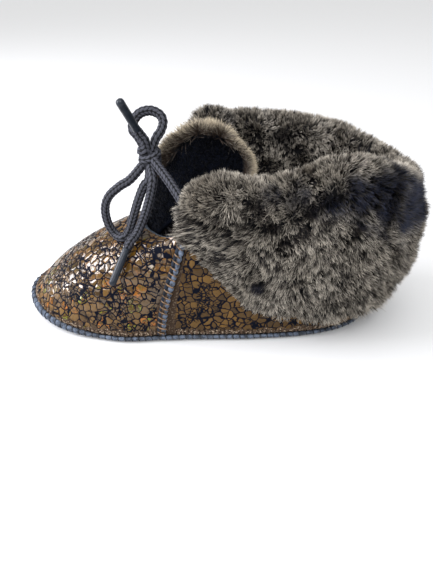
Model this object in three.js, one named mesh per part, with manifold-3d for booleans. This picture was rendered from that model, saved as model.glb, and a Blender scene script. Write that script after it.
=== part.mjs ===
// Sheepskin slipper, left foot: a soft sole, a hollow upper lofted over the last, a folded fur cuff,
// a tongue and a tied lace. +X runs to the toe, +Y to the wearer's left, +Z up, millimetres.
// The origin is on the floor, under the middle of the sole.
import * as THREE from 'three';
import { mergeVertices } from 'three/addons/utils/BufferGeometryUtils.js';
import Module from 'manifold-3d';

const wasm = await Module();
wasm.setup();

// Driving dimensions
const SOLE_LENGTH = 250;
const BALL_WIDTH = 92;
const SOLE_THICKNESS = 4;
const TOE_SPRING = 9;
const SPRING_START = 0.7;
const WALL = 3;
const GAP = 0.3;
const INSOLE_THICKNESS = 7;
const CREST_PILE = 16;
const LINING_PILE = 8;
const LACE_DIAMETER = 6;
const AGLET_DIAMETER = 4.8;

// Plan of the last: a row for each station from heel to toe, in shares of length and ball width
const PLAN = [
  { station: 'heel back', along: 0, lateral: 0, medial: 0 },
  { station: 'heel turn', along: 0.045, lateral: 0.23, medial: 0.24 },
  { station: 'heel side', along: 0.155, lateral: 0.37, medial: 0.38 },
  { station: 'rear waist', along: 0.31, lateral: 0.435, medial: 0.415 },
  { station: 'waist', along: 0.434, lateral: 0.455, medial: 0.42 },
  { station: 'front waist', along: 0.52, lateral: 0.465, medial: 0.43 },
  { station: 'side seam', along: 0.587, lateral: 0.48, medial: 0.45 },
  { station: 'ball', along: 0.712, lateral: 0.5, medial: 0.49 },
  { station: 'toe side', along: 0.866, lateral: 0.41, medial: 0.44 },
  { station: 'toe turn', along: 0.958, lateral: 0.22, medial: 0.27 },
  { station: 'toe tip', along: 0.992, lateral: -0.03, medial: 0.03 },
];

// Top edge of the upper at the same stations: collar, drop at the quarter's front, then the throat
const TOP = [
  { along: -0.018, lateral: 0, medial: 0, lateralZ: 102, medialZ: 102 },
  { along: 0.036, lateral: 0.23, medial: 0.23, lateralZ: 107, medialZ: 107 },
  { along: 0.144, lateral: 0.37, medial: 0.37, lateralZ: 116.5, medialZ: 117 },
  { along: 0.29, lateral: 0.41, medial: 0.41, lateralZ: 106, medialZ: 121 },
  { along: 0.405, lateral: 0.41, medial: 0.41, lateralZ: 102.5, medialZ: 122 },
  { along: 0.486, lateral: 0.39, medial: 0.39, lateralZ: 99, medialZ: 120 },
  { along: 0.51, lateral: 0.36, medial: 0.36, lateralZ: 80, medialZ: 82 },
  { along: 0.568, lateral: 0.28, medial: 0.28, lateralZ: 72, medialZ: 74 },
  { along: 0.616, lateral: 0.14, medial: 0.15, lateralZ: 69.5, medialZ: 70.5 },
  { along: 0.637, lateral: 0.05, medial: 0.06, lateralZ: 70, medialZ: 70 },
  { along: 0.645, lateral: 0, medial: 0, lateralZ: 70, medialZ: 70 },
];

// Fullness of the wall between sole and top edge: how far it swells and where it turns over
const FORM = [
  { lowOut: 10, lowRise: 30, highReach: 0, highOut: 6, highDrop: 30 },
  { lowOut: 9, lowRise: 30, highReach: 0, highOut: 5, highDrop: 30 },
  { lowOut: 6, lowRise: 32, highReach: 0, highOut: 4, highDrop: 32 },
  { lowOut: 5, lowRise: 34, highReach: 0, highOut: 4, highDrop: 34 },
  { lowOut: 4, lowRise: 32, highReach: 0, highOut: 4, highDrop: 32 },
  { lowOut: 3, lowRise: 30, highReach: 0.15, highOut: 4, highDrop: 30 },
  { lowOut: 2, lowRise: 26, highReach: 0.3, highOut: 4, highDrop: 18 },
  { lowOut: 2, lowRise: 24, highReach: 0.4, highOut: 4, highDrop: 4 },
  { lowOut: 2, lowRise: 20, highReach: 0.42, highOut: 3, highDrop: 3 },
  { lowOut: 1, lowRise: 13, highReach: 0.44, highOut: 2, highDrop: 6 },
  { lowOut: 0, lowRise: 8, highReach: 0.45, highOut: 0, highDrop: 7 },
];

const LAST_ROW = PLAN.length - 1;
const RING_POINTS = 2 * LAST_ROW;

const vec = (x, y, z) => new THREE.Vector3(x, y, z);
const mix = (a, b, t) => a + (b - a) * t;
const clamp01 = (t) => Math.min(1, Math.max(0, t));
const smooth = (t) => clamp01(t) * clamp01(t) * (3 - 2 * clamp01(t));

// Seeded random numbers, so every build is the same
let seed = 7;
const random = () => {
  seed = (seed * 16807) % 2147483647;
  return seed / 2147483647;
};

// Rails of the loft: one closed curve each, heel, lateral side, toe, medial side
const rowOf = (i) => (i <= LAST_ROW ? i : RING_POINTS - i);
const isLateral = (i) => i <= LAST_ROW;
const soleX = (along) => (along - 0.5) * SOLE_LENGTH;

function lift(x) {
  const start = soleX(SPRING_START);
  const share = clamp01((x - start) / (SOLE_LENGTH / 2 - start));
  return TOE_SPRING * share * share;
}

function planPoint(i) {
  const row = PLAN[rowOf(i)];
  const half = isLateral(i) ? row.lateral : -row.medial;
  return vec(soleX(row.along), half * BALL_WIDTH, 0);
}

function outward(i) {
  const before = planPoint((i + RING_POINTS - 1) % RING_POINTS);
  const after = planPoint((i + 1) % RING_POINTS);
  return vec(before.y - after.y, after.x - before.x, 0).normalize();
}

function bottomPoint(i) {
  const point = planPoint(i);
  point.z = SOLE_THICKNESS + GAP + lift(point.x);
  return point;
}

function topPoint(i) {
  const row = TOP[rowOf(i)];
  const half = isLateral(i) ? row.lateral : -row.medial;
  return vec(soleX(row.along), half * BALL_WIDTH, isLateral(i) ? row.lateralZ : row.medialZ);
}

function lowPoint(i) {
  const form = FORM[rowOf(i)];
  const point = bottomPoint(i).addScaledVector(outward(i), form.lowOut);
  point.z += form.lowRise;
  return point;
}

function highPoint(i) {
  const form = FORM[rowOf(i)];
  const top = topPoint(i);
  const bottom = bottomPoint(i);
  const point = vec(mix(top.x, bottom.x, form.highReach), mix(top.y, bottom.y, form.highReach), top.z);
  point.addScaledVector(outward(i), form.highOut);
  point.z -= form.highDrop;
  return point;
}

function rail(pointAt) {
  const points = Array.from({ length: RING_POINTS }, (_, i) => pointAt(i));
  return new THREE.CatmullRomCurve3(points, true, 'catmullrom', 0.5);
}

const PLAN_RAIL = rail(planPoint);
const RAILS = [rail(bottomPoint), rail(lowPoint), rail(highPoint), rail(topPoint)];

// Outer skin of the upper: u runs round the foot, v from the sole to the top edge
function skin(u, v) {
  const turn = ((u % 1) + 1) % 1;
  const w = 1 - v;
  const weights = [w * w * w, 3 * w * w * v, 3 * w * v * v, v * v * v];
  const point = vec(0, 0, 0);
  RAILS.forEach((curve, i) => point.addScaledVector(curve.getPoint(turn), weights[i]));
  return point;
}

function climb(u, v) {
  const step = 0.002;
  return skin(u, v + step).sub(skin(u, v - step)).normalize();
}

function normal(u, v) {
  const step = 0.001;
  const round = skin(u + step, v).sub(skin(u - step, v));
  return climb(u, v).cross(round).normalize();
}

// Direction that leaves the top edge square to it, in the wall's own plane
function edgeUp(u) {
  const edge = RAILS[3].getTangent(((u % 1) + 1) % 1);
  const up = climb(u, 1);
  return up.addScaledVector(edge, -up.dot(edge)).normalize();
}

// Solids from rings of points
function solidMesh(points, triangles) {
  const geometry = new THREE.BufferGeometry();
  const positions = points.flatMap((p) => [p.x, p.y, p.z]);
  geometry.setAttribute('position', new THREE.Float32BufferAttribute(positions, 3));
  geometry.setIndex(triangles);
  return geometry;
}

// Rings list one face of a strip forwards and the other face backwards, so an open end closes as a ladder
function sweep(rings, closed) {
  const count = rings[0].length;
  const triangles = [];
  const quad = (a, b, c, d) => triangles.push(a, b, c, a, c, d);
  const spans = closed ? rings.length : rings.length - 1;
  for (let i = 0; i < spans; i += 1) {
    const here = i * count;
    const next = ((i + 1) % rings.length) * count;
    for (let k = 0; k < count; k += 1) {
      const after = (k + 1) % count;
      quad(here + k, here + after, next + after, next + k);
    }
  }
  if (!closed) {
    const last = (rings.length - 1) * count;
    for (let k = 0; k < count / 2 - 1; k += 1) {
      const across = count - 1 - k;
      quad(k, across, across - 1, k + 1);
      quad(last + k, last + k + 1, last + across - 1, last + across);
    }
  }
  return solidMesh(rings.flat(), triangles);
}

const toManifold = (source) => {
  const bare = source.clone();
  bare.deleteAttribute('normal');
  bare.deleteAttribute('uv');
  const merged = mergeVertices(bare, 1e-4);
  const vertProperties = new Float32Array(merged.attributes.position.array);
  const triVerts = new Uint32Array(merged.index.array);
  return new wasm.Manifold(new wasm.Mesh({ numProp: 3, vertProperties, triVerts }));
};

const fromManifold = (solid) => {
  const mesh = solid.getMesh();
  const geometry = new THREE.BufferGeometry();
  geometry.setAttribute('position', new THREE.Float32BufferAttribute(mesh.vertProperties, 3));
  geometry.setIndex(Array.from(mesh.triVerts));
  return geometry;
};

// Sole and insole: cross sections from heel to toe between the two sides of the plan
const PLATE_STEPS = 26;
const PLATE_END = 0.008;

function plate(bottomZ, topZ, inset) {
  const rings = [];
  for (let i = 0; i <= PLATE_STEPS; i += 1) {
    const u = mix(PLATE_END, 0.5 - PLATE_END, i / PLATE_STEPS);
    const left = PLAN_RAIL.getPoint(u);
    const right = PLAN_RAIL.getPoint(1 - u);
    const x = mix(left.x, inset.middle, inset.length);
    const rise = lift(x);
    const yLeft = left.y * (1 - inset.width);
    const yRight = right.y * (1 - inset.width);
    const ring = [
      vec(x, yRight, bottomZ + rise),
      vec(x, yLeft, bottomZ + rise),
      vec(x, yLeft, topZ + rise),
      vec(x, yRight, topZ + rise),
    ];
    rings.push(ring);
  }
  return sweep(rings, false);
}

const soleGeometry = () => plate(0, SOLE_THICKNESS, { middle: 0, length: 0, width: 0 });

function insoleGeometry() {
  const bottom = SOLE_THICKNESS + GAP;
  return plate(bottom, bottom + INSOLE_THICKNESS, { middle: -20, length: 0.07, width: 0.11 });
}

// Raised seam round the sole's edge: its section, out from the plan and up from the sole's top
const SEAM_STEPS = 64;
const SEAM_SECTION = [
  { out: 0.4, up: -2.4 },
  { out: 1.9, up: -2.9 },
  { out: 3.3, up: -1.4 },
  { out: 3.5, up: 0.8 },
  { out: 2.8, up: 1.4 },
  { out: 1.7, up: 1.4 },
  { out: 0.5, up: 0 },
];

function soleSeamGeometry() {
  const rings = [];
  for (let i = 0; i < SEAM_STEPS; i += 1) {
    const u = i / SEAM_STEPS;
    const edge = PLAN_RAIL.getPoint(u);
    const along = PLAN_RAIL.getTangent(u);
    const side = vec(-along.y, along.x, 0).normalize();
    const ring = SEAM_SECTION.map(({ out, up }) => {
      const point = edge.clone().addScaledVector(side, out);
      point.z = SOLE_THICKNESS + lift(edge.x) + up;
      return point;
    });
    rings.push(ring);
  }
  return sweep(rings, true);
}

// Upper: a wall along the skin, with a raised seam on each side where vamp and quarter meet
const UPPER_STEPS = 80;
const UPPER_LEVELS = 7;
const SIDE_SEAM_U = 6 / RING_POINTS;
const SIDE_SEAM_RISE = 1.8;
const SIDE_SEAM_STOPS = [-0.0065, -0.0045, -0.0015, 0.0015, 0.0045, 0.0065];
const SIDE_SEAM_HALF = 0.0055;
const SIDE_SEAM_SLOPE = 0.003;
const SIDE_SEAM_CLEAR = 0.0075;

function seamRise(u) {
  const turn = ((u % 1) + 1) % 1;
  const apart = Math.min(Math.abs(turn - SIDE_SEAM_U), Math.abs(turn - 1 + SIDE_SEAM_U));
  return SIDE_SEAM_RISE * smooth((SIDE_SEAM_HALF - apart) / SIDE_SEAM_SLOPE);
}

// The wall's clearance counts this many times past its top edge
const EDGE_CLEARANCE = 3;

function upperStops() {
  const seams = [SIDE_SEAM_U, 1 - SIDE_SEAM_U];
  const plain = Array.from({ length: UPPER_STEPS }, (_, i) => i / UPPER_STEPS);
  const away = plain.filter((u) => seams.every((s) => Math.abs(u - s) > SIDE_SEAM_CLEAR));
  const close = seams.flatMap((s) => SIDE_SEAM_STOPS.map((d) => s + d));
  return [...away, ...close].sort((a, b) => a - b);
}

// The wall between sole and top edge, grown on both faces and past its top edge by a clearance
function wallGeometry(clearance) {
  const rings = upperStops().map((u) => {
    const outer = [];
    const inner = [];
    for (let k = 0; k <= UPPER_LEVELS; k += 1) {
      const v = k / UPPER_LEVELS;
      const point = skin(u, v);
      const out = normal(u, v);
      const rise = k > 0 ? seamRise(u) : 0;
      if (k === UPPER_LEVELS) {
        point.addScaledVector(edgeUp(u), EDGE_CLEARANCE * clearance);
      }
      outer.push(point.clone().addScaledVector(out, rise + clearance));
      inner.push(point.clone().addScaledVector(out, -WALL - clearance));
    }
    return [...outer, ...inner.reverse()];
  });
  return sweep(rings, true);
}

// Locks of fur: slim cones rooted in the pile
const LOCK_SIDES = 3;
const LOCK_ROOT = 4;

function lock(root, direction, radius, length) {
  const cone = new THREE.ConeGeometry(radius, length + LOCK_ROOT, LOCK_SIDES);
  cone.translate(0, (length - LOCK_ROOT) / 2, 0);
  const turn = new THREE.Quaternion().setFromUnitVectors(vec(0, 1, 0), direction.clone().normalize());
  cone.applyQuaternion(turn);
  cone.translate(root.x, root.y, root.z);
  return toManifold(cone);
}

const jitter = (amount) => vec(random() - 0.5, random() - 0.5, random() - 0.5).multiplyScalar(2 * amount);
const fuse = (body, locks) => fromManifold(wasm.Manifold.union([toManifold(body), ...locks]));

// Cuff: the collar folded outwards, fur side out. A row for each station back from the front edge:
// where its lower edge lies on the quarter, and how deep the pile is
const CUFF = [
  { round: 0, low: 0.2, pile: 21 },
  { round: 0.05, low: 0.185, pile: 19.5 },
  { round: 0.1, low: 0.15, pile: 17.5 },
  { round: 0.15, low: 0.245, pile: 15 },
  { round: 0.175, low: 0.35, pile: 14.5 },
  { round: 0.2, low: 0.51, pile: 14 },
  { round: 0.225, low: 0.635, pile: 13 },
  { round: 0.25, low: 0.74, pile: 12 },
  { round: 0.262, low: 0.79, pile: 8 },
];
const CUFF_FRONT = CUFF[CUFF.length - 1].round;
const CUFF_STEPS = 38;
const CUFF_LEVELS = 5;
const CUFF_ROLL = 4;
const CUFF_INSIDE = 3;
const LINING_DEPTH = 0.3;
const LINING_THIN = 0.4;
// The pile is shorter near the lower edge, rounds up over a share of the height, and turns into the crest
const CUFF_EDGE_PILE = 0.3;
const CUFF_EDGE_ROUND = 0.5;
const CREST_FROM = 0.75;
// The crest lies lower towards the cuff's two front ends
const CUFF_END_TAPER = 0.03;
const CUFF_END_PILE = 0.55;
// Just behind the lateral end the pile stands up in a tuft
const TUFT_PILE = 9.5;
const TUFT_AT = 0.209;
const TUFT_HALF = 0.023;
// The cuff is first rooted this far inside the wall, then cut back to the wall's faces and to the lace
const CUFF_SUNK = 1;

function cuffRow(u) {
  const round = Math.min(Math.abs(u), CUFF_FRONT - 1e-6);
  const after = CUFF.findIndex((row) => row.round > round);
  const a = CUFF[after - 1];
  const b = CUFF[after];
  const t = (round - a.round) / (b.round - a.round);
  return { low: mix(a.low, b.low, t), pile: mix(a.pile, b.pile, t) };
}

const roundEdge = (w) => mix(CUFF_EDGE_PILE, 1, Math.sqrt(1 - (1 - clamp01(w / CUFF_EDGE_ROUND)) ** 2));

// One section of the cuff: up the outside, over the fold, down the inside, as pairs of root and depth
function cuffSection(u) {
  const { low, pile } = cuffRow(u);
  const end = clamp01((CUFF_FRONT - Math.abs(u)) / CUFF_END_TAPER);
  const tuft = TUFT_PILE * Math.exp(-(((u - TUFT_AT) / TUFT_HALF) ** 2));
  const crest = CREST_PILE * mix(CUFF_END_PILE, 1, smooth(end)) + tuft;
  const section = [];
  for (let k = 0; k <= CUFF_LEVELS; k += 1) {
    const w = k / CUFF_LEVELS;
    const v = mix(low, 1, w);
    const depth = mix(pile * roundEdge(w), crest, smooth((w - CREST_FROM) / (1 - CREST_FROM)));
    section.push({ root: skin(u, v), out: normal(u, v), sunk: CUFF_SUNK, depth });
  }
  const out = normal(u, 1);
  const up = edgeUp(u);
  const middle = skin(u, 1).addScaledVector(out, -WALL / 2);
  for (let k = 1; k < CUFF_ROLL; k += 1) {
    const angle = (Math.PI * k) / CUFF_ROLL;
    const away = out.clone().multiplyScalar(Math.cos(angle)).addScaledVector(up, Math.sin(angle));
    const depth = mix(crest, LINING_PILE, k / CUFF_ROLL);
    section.push({ root: middle.clone(), out: away, sunk: CUFF_SUNK - WALL / 2, depth: depth + WALL / 2 });
  }
  for (let k = 0; k <= CUFF_INSIDE; k += 1) {
    const v = 1 - (LINING_DEPTH * k) / CUFF_INSIDE;
    const inwards = normal(u, v).negate();
    const depth = LINING_PILE * mix(1, LINING_THIN, smooth((k - 1) / (CUFF_INSIDE - 1)));
    section.push({ root: skin(u, v).addScaledVector(inwards, WALL), out: inwards, sunk: CUFF_SUNK, depth });
  }
  return section;
}

const nearFace = ({ root, out, sunk }) => root.clone().addScaledVector(out, -sunk);
const furFace = ({ root, out, depth }) => root.clone().addScaledVector(out, GAP + depth);

const CUFF_LOCKS = 112;
const CUFF_LOCK_RADIUS = 6;
const CUFF_LOCK_LENGTH = 5;
const CUFF_LOCK_LEAST = 0.7;
const CUFF_LOCK_HANG = -0.6;
const CUFF_LOCK_STRAY = 0.35;
const CUFF_LOCK_LEVEL = 0.8;

function cuffLocks() {
  const locks = [];
  for (let i = 0; i < CUFF_LOCKS; i += 1) {
    const u = mix(-CUFF_FRONT, CUFF_FRONT, (i + random()) / CUFF_LOCKS);
    const section = cuffSection(u);
    const place = Math.floor(random() * (CUFF_LEVELS + CUFF_ROLL));
    const spot = section[place];
    const hang = place < CUFF_LEVELS - 1 ? CUFF_LOCK_HANG : 0;
    const downhill = climb(u, CUFF_LOCK_LEVEL).multiplyScalar(hang);
    const direction = spot.out.clone().add(downhill).add(jitter(CUFF_LOCK_STRAY));
    const radius = CUFF_LOCK_RADIUS * mix(CUFF_LOCK_LEAST, 1, random());
    locks.push(lock(furFace(spot), direction, radius, CUFF_LOCK_LENGTH));
  }
  return locks;
}

function cuffGeometry() {
  const rings = [];
  for (let i = 0; i <= CUFF_STEPS; i += 1) {
    const section = cuffSection(mix(-CUFF_FRONT, CUFF_FRONT, i / CUFF_STEPS));
    rings.push([...section.map(furFace), ...section.map(nearFace).reverse()]);
  }
  const whole = wasm.Manifold.union([toManifold(sweep(rings, false)), ...cuffLocks()]);
  const cutters = [wallGeometry(GAP), cordGeometry(BAR, LACE_DIAMETER + 2 * GAP)];
  const cut = cutters.reduce((rest, cutter) => rest.subtract(toManifold(cutter)), whole);
  const shells = cut.decompose().sort((a, b) => b.volume() - a.volume());
  return fromManifold(shells[0]);
}

// Tongue: rooted under the throat and twisted as it rises, so that its face looks to the lateral side.
// A row for each section up to the tip: its medial rim, its lateral rim and the swell of its face
const TONGUE = [
  { medial: vec(30.4, -11.6, 84), lateral: vec(15, 14, 77), swell: 3 },
  { medial: vec(29, -12, 95), lateral: vec(-12, 9, 87), swell: 5 },
  { medial: vec(21, -10.5, 108), lateral: vec(-32, 1, 100), swell: 6 },
  { medial: vec(14.5, -11, 118), lateral: vec(-34, -5, 112), swell: 5 },
  { medial: vec(5, -12.5, 124.5), lateral: vec(-25, -9, 120.5), swell: 3 },
  { medial: vec(-3, -13, 127.5), lateral: vec(-17, -12.5, 126), swell: 1 },
];
const TONGUE_ROOT = [
  { v: 0.86, under: 0 },
  { v: 0.94, under: 1 },
  { v: 1, under: 3 },
];
const TONGUE_THICKNESS = 8;
const TONGUE_ACROSS = 8;
const TONGUE_SPREAD = 0.1;

function tongueRings() {
  const across = Array.from({ length: TONGUE_ACROSS + 1 }, (_, j) => 1 - (2 * j) / TONGUE_ACROSS);
  const rings = TONGUE_ROOT.map(({ v, under }) => {
    const face = (deep) => across.map((share) => {
      const u = 0.5 + share * TONGUE_SPREAD;
      return skin(u, v).addScaledVector(normal(u, v), -deep);
    });
    const near = WALL + GAP + under;
    return [...face(near), ...face(near + TONGUE_THICKNESS).reverse()];
  });
  const middle = ({ medial, lateral }) => medial.clone().lerp(lateral, 0.5);
  TONGUE.forEach((row, i) => {
    const before = middle(TONGUE[Math.max(0, i - 1)]);
    const after = middle(TONGUE[Math.min(TONGUE.length - 1, i + 1)]);
    const out = after.sub(before).cross(row.medial.clone().sub(row.lateral)).normalize();
    const face = (deep) => across.map((share) => {
      const point = row.lateral.clone().lerp(row.medial, (1 + share) / 2);
      return point.addScaledVector(out, row.swell * (1 - share * share) - deep);
    });
    rings.push([...face(0), ...face(TONGUE_THICKNESS).reverse()]);
  });
  return rings;
}

const TONGUE_LOCK_RADIUS = 4;
const TONGUE_LOCK_LENGTH = 4;
const TONGUE_LOCK_STRAY = 0.3;
const TONGUE_BARE_RINGS = 4;

// Fur of the underside standing out past the rim of the tongue
function tongueLocks(rings) {
  const locks = [];
  const plant = (ring, k, away) => {
    const root = ring[k].clone().lerp(ring[ring.length - 1 - k], 0.5);
    const direction = away.clone().add(jitter(TONGUE_LOCK_STRAY));
    locks.push(lock(root, direction, TONGUE_LOCK_RADIUS, TONGUE_LOCK_LENGTH));
  };
  const last = rings[rings.length - 1];
  rings.slice(TONGUE_BARE_RINGS).forEach((ring) => {
    const side = ring[0].clone().sub(ring[TONGUE_ACROSS]).normalize();
    plant(ring, 0, side);
    plant(ring, TONGUE_ACROSS, side.clone().negate());
  });
  const middle = TONGUE_ACROSS / 2;
  const forth = last[middle].clone().sub(rings[rings.length - 2][middle]).normalize();
  for (let k = 1; k < TONGUE_ACROSS; k += 2) {
    plant(last, k, forth);
  }
  return locks;
}

function tongueGeometry() {
  const rings = tongueRings();
  return fuse(sweep(rings, false), tongueLocks(rings));
}

// Lace: one bar from cuff to cuff through the knot, two bow loops and two ends with aglets
const KNOT = vec(26, 8, 118);
const BAR = [
  vec(3.5, 36, 99),
  vec(7, 31.5, 103),
  vec(15, 22, 110.5),
  KNOT,
  vec(29, -8, 114),
  vec(25.5, -25, 108.5),
  vec(13, -34, 105),
  vec(5, -37, 104),
];
const LOOP_LOWER = [
  vec(32.6, 10, 107),
  vec(38.2, 12, 105),
  vec(45.6, 12.6, 100.3),
  vec(53.4, 13, 93.6),
  vec(57, 13.5, 85.5),
  vec(56.6, 14, 75.4),
  vec(52.6, 15.3, 67.8),
  vec(47, 19.6, 67.3),
  vec(42.7, 18.2, 70.6),
  vec(38.8, 17, 80.6),
  vec(34.5, 15.5, 92),
  vec(30.3, 14, 101),
  vec(26.6, 13.5, 106),
];
const LOOP_UPPER = [
  vec(21.8, 6, 127.8),
  vec(19.2, 3, 131),
  vec(17.6, 0, 135.6),
  vec(19.4, -2, 139.4),
  vec(24.8, -3, 141.6),
  vec(31, -2.2, 140.6),
  vec(35.2, 0, 136.6),
  vec(35.8, 2.2, 131.5),
  vec(32.4, 4.2, 127.8),
];
const END_LOWER = [
  vec(23.4, 18.6, 107),
  vec(25.2, 19.6, 98.9),
  vec(29.1, 20.5, 87.2),
  vec(33.2, 21.5, 77.8),
  vec(36.8, 23.6, 71.4),
  vec(39.4, 26.3, 69.2),
  vec(42.2, 30.2, 65.3),
];
const AGLET_LOWER_TIP = vec(51, 46, 47.2);
const END_UPPER = [
  vec(27.6, 10.6, 128),
  vec(29.9, 11.6, 132),
  vec(31.2, 13.8, 135.6),
];
const AGLET_UPPER_TIP = vec(35.3, 30.3, 154.7);

const CORD_SIDES = 8;
const CORD_STEP = 8;
const KNOT_LENGTH = 1.6;
const KNOT_STEPS = 14;

function cordSection(radius) {
  const points = Array.from({ length: CORD_SIDES }, (_, i) => {
    const angle = (2 * Math.PI * i) / CORD_SIDES;
    return new THREE.Vector2(radius * Math.cos(angle), radius * Math.sin(angle));
  });
  return new THREE.Shape(points);
}

function cordGeometry(points, diameter = LACE_DIAMETER) {
  const extrudePath = new THREE.CatmullRomCurve3(points);
  const steps = Math.max(1, Math.round(extrudePath.getLength() / CORD_STEP));
  return new THREE.ExtrudeGeometry(cordSection(diameter / 2), { steps, extrudePath, bevelEnabled: false });
}

// The knot wraps once round the bar
function knotGeometry() {
  const tube = LACE_DIAMETER / 2;
  const ring = new THREE.TorusGeometry(2 * tube + 2 * GAP, tube, CORD_SIDES, KNOT_STEPS);
  ring.scale(1, 1, KNOT_LENGTH);
  const along = BAR[2].clone().sub(BAR[4]).normalize();
  ring.applyQuaternion(new THREE.Quaternion().setFromUnitVectors(vec(0, 0, 1), along));
  ring.translate(KNOT.x, KNOT.y, KNOT.z);
  return ring;
}

function agletGeometry(end, tip) {
  const from = end[end.length - 1].clone();
  const along = tip.clone().sub(from).normalize();
  from.addScaledVector(along, 2 * GAP);
  return cordGeometry([from, tip], AGLET_DIAMETER);
}

const MATERIALS = {
  foil: { color: 0x5f4a30, roughness: 0.35, metalness: 0.7 },
  sole: { color: 0x2a2d34, roughness: 0.8, metalness: 0 },
  fur: { color: 0x5b5048, roughness: 1, metalness: 0 },
  seam: { color: 0x59657a, roughness: 0.6, metalness: 0 },
  suede: { color: 0x11141d, roughness: 0.9, metalness: 0 },
  cord: { color: 0x34363c, roughness: 0.85, metalness: 0 },
  tip: { color: 0x6f7a8a, roughness: 0.3, metalness: 0 },
};

const slipper = new THREE.Group();

function addPart(name, geometry, look) {
  const mesh = new THREE.Mesh(geometry, new THREE.MeshStandardMaterial(MATERIALS[look]));
  mesh.name = name;
  slipper.add(mesh);
}

addPart('sole', soleGeometry(), 'sole');
addPart('sole_seam', soleSeamGeometry(), 'seam');
addPart('insole', insoleGeometry(), 'fur');
addPart('upper', wallGeometry(0), 'foil');
addPart('tongue', tongueGeometry(), 'suede');
addPart('cuff', cuffGeometry(), 'fur');
addPart('lace_bar', cordGeometry(BAR), 'cord');
addPart('lace_knot', knotGeometry(), 'cord');
addPart('lace_loop_lower', cordGeometry(LOOP_LOWER), 'cord');
addPart('lace_loop_upper', cordGeometry(LOOP_UPPER), 'cord');
addPart('lace_end_lower', cordGeometry(END_LOWER), 'cord');
addPart('lace_end_upper', cordGeometry(END_UPPER), 'cord');
addPart('aglet_lower', agletGeometry(END_LOWER, AGLET_LOWER_TIP), 'tip');
addPart('aglet_upper', agletGeometry(END_UPPER, AGLET_UPPER_TIP), 'tip');

export default slipper;
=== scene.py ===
import math

import bpy
import numpy as np
from mathutils import Matrix, Vector


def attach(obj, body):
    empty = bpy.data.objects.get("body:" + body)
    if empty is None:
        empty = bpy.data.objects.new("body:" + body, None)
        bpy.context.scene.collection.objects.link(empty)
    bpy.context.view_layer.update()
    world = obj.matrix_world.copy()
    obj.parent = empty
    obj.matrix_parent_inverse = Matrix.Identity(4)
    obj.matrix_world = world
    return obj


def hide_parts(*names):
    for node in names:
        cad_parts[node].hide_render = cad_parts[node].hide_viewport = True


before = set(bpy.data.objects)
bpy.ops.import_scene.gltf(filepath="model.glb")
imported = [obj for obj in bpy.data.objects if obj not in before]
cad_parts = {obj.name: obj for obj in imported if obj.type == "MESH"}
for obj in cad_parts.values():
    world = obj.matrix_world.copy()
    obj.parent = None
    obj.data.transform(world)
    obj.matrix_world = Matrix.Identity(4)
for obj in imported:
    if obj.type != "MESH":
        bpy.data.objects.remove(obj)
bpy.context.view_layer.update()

# Looks of the sheepskin slipper: cracked foil leather, whip-stitched seams, deep fur, a suede tongue and a
# braided lace. Lengths below are millimetres in the part's own frame: +X to the toe, +Y to the wearer's left,
# +Z up. Colours are six hex digits, and tints of light and gloss are shares of red, green and blue.
MM = 0.001
TURN = 2 * math.pi
UP = np.array([0, 0, 1.0])


def table(columns, *rows):
    """Rows of numbers as named columns."""
    return dict(zip(columns.split(), np.array(rows, float).T))


def mix(a, b, t):
    return a + (b - a) * t


def smooth(t):
    t = np.clip(t, 0, 1)
    return t * t * (3 - 2 * t)


def bump(distance, width):
    """A soft hill, 1 at no distance."""
    return np.exp(-((distance / width) ** 2))


def unit(vectors):
    return vectors / np.maximum(np.linalg.norm(vectors, axis=-1, keepdims=True), 1e-9)


def column(values):
    return np.asarray(values, float)[..., None]


def turned(first, second, angle):
    """Directions at angles from a first direction towards a second one."""
    return first * column(np.cos(angle)) + second * column(np.sin(angle))


def linear(code):
    """A colour written as six hex digits, as the shaders count it."""
    parts = np.array([int(code[i:i + 2], 16) for i in (0, 2, 4)]) / 255
    return np.where(parts <= 0.04045, parts / 12.92, ((parts + 0.055) / 1.055) ** 2.4)


def waves(points, size, seed):
    """Smooth seeded noise from about -1 to 1, with hills of a size in millimetres."""
    draw = np.random.default_rng(seed)
    count = 9
    total = np.zeros(points.shape[:-1])
    for _ in range(count):
        direction = unit(draw.normal(size=3)) * TURN / size * draw.uniform(0.6, 1.5)
        total += np.sin(points @ direction + draw.uniform(0, TURN))
    return total / math.sqrt(count)


# Smooth curves through points


def spline(a, b, c, d, t):
    """The curve from b to c at a share t of the way, with a before it and d after it."""
    square = (2 * a - 5 * b + 4 * c - d) * t ** 2
    cube = (3 * b - a - 3 * c + d) * t ** 3
    return 0.5 * (2 * b + (c - a) * t + square + cube)


def rail(points):
    """A closed curve through points, as a function of a share of its turn."""
    count = len(points)

    def at(u):
        place = (np.asarray(u, float) % 1.0) * count
        i = np.floor(place).astype(int)
        return spline(*(points[(i + k) % count] for k in (-1, 0, 1, 2)), column(place - i))

    return at


def finer(rows, steps):
    """More rows of points, on open curves through the given ones."""
    ends = np.concatenate([[2 * rows[0] - rows[1]], rows, [2 * rows[-1] - rows[-2]]])
    t = (np.arange(steps) / steps).reshape(-1, *[1] * (rows.ndim - 1))
    fine = [spline(*four, t) for four in zip(ends, ends[1:], ends[2:], ends[3:])]
    return np.concatenate([*fine, rows[-1:]])


def run_of(path):
    """Distance travelled along a path at each of its points."""
    return np.concatenate([[0], np.cumsum(np.linalg.norm(np.diff(path, axis=0), axis=1))])


def at_stops(path, run, stops):
    """Points of a path at given stops, where run holds the distance of each of its points."""
    return np.stack([np.interp(stops, run, path[:, axis]) for axis in range(3)], axis=1)


CURVE_STEPS = 40


def curve_through(points, spacing):
    """Points at an even spacing on an open curve through a short list of points."""
    fine = finer(np.array(points, float), CURVE_STEPS)
    run = run_of(fine)
    return at_stops(fine, run, np.linspace(0, run[-1], max(2, round(run[-1] / spacing)) + 1))


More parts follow.
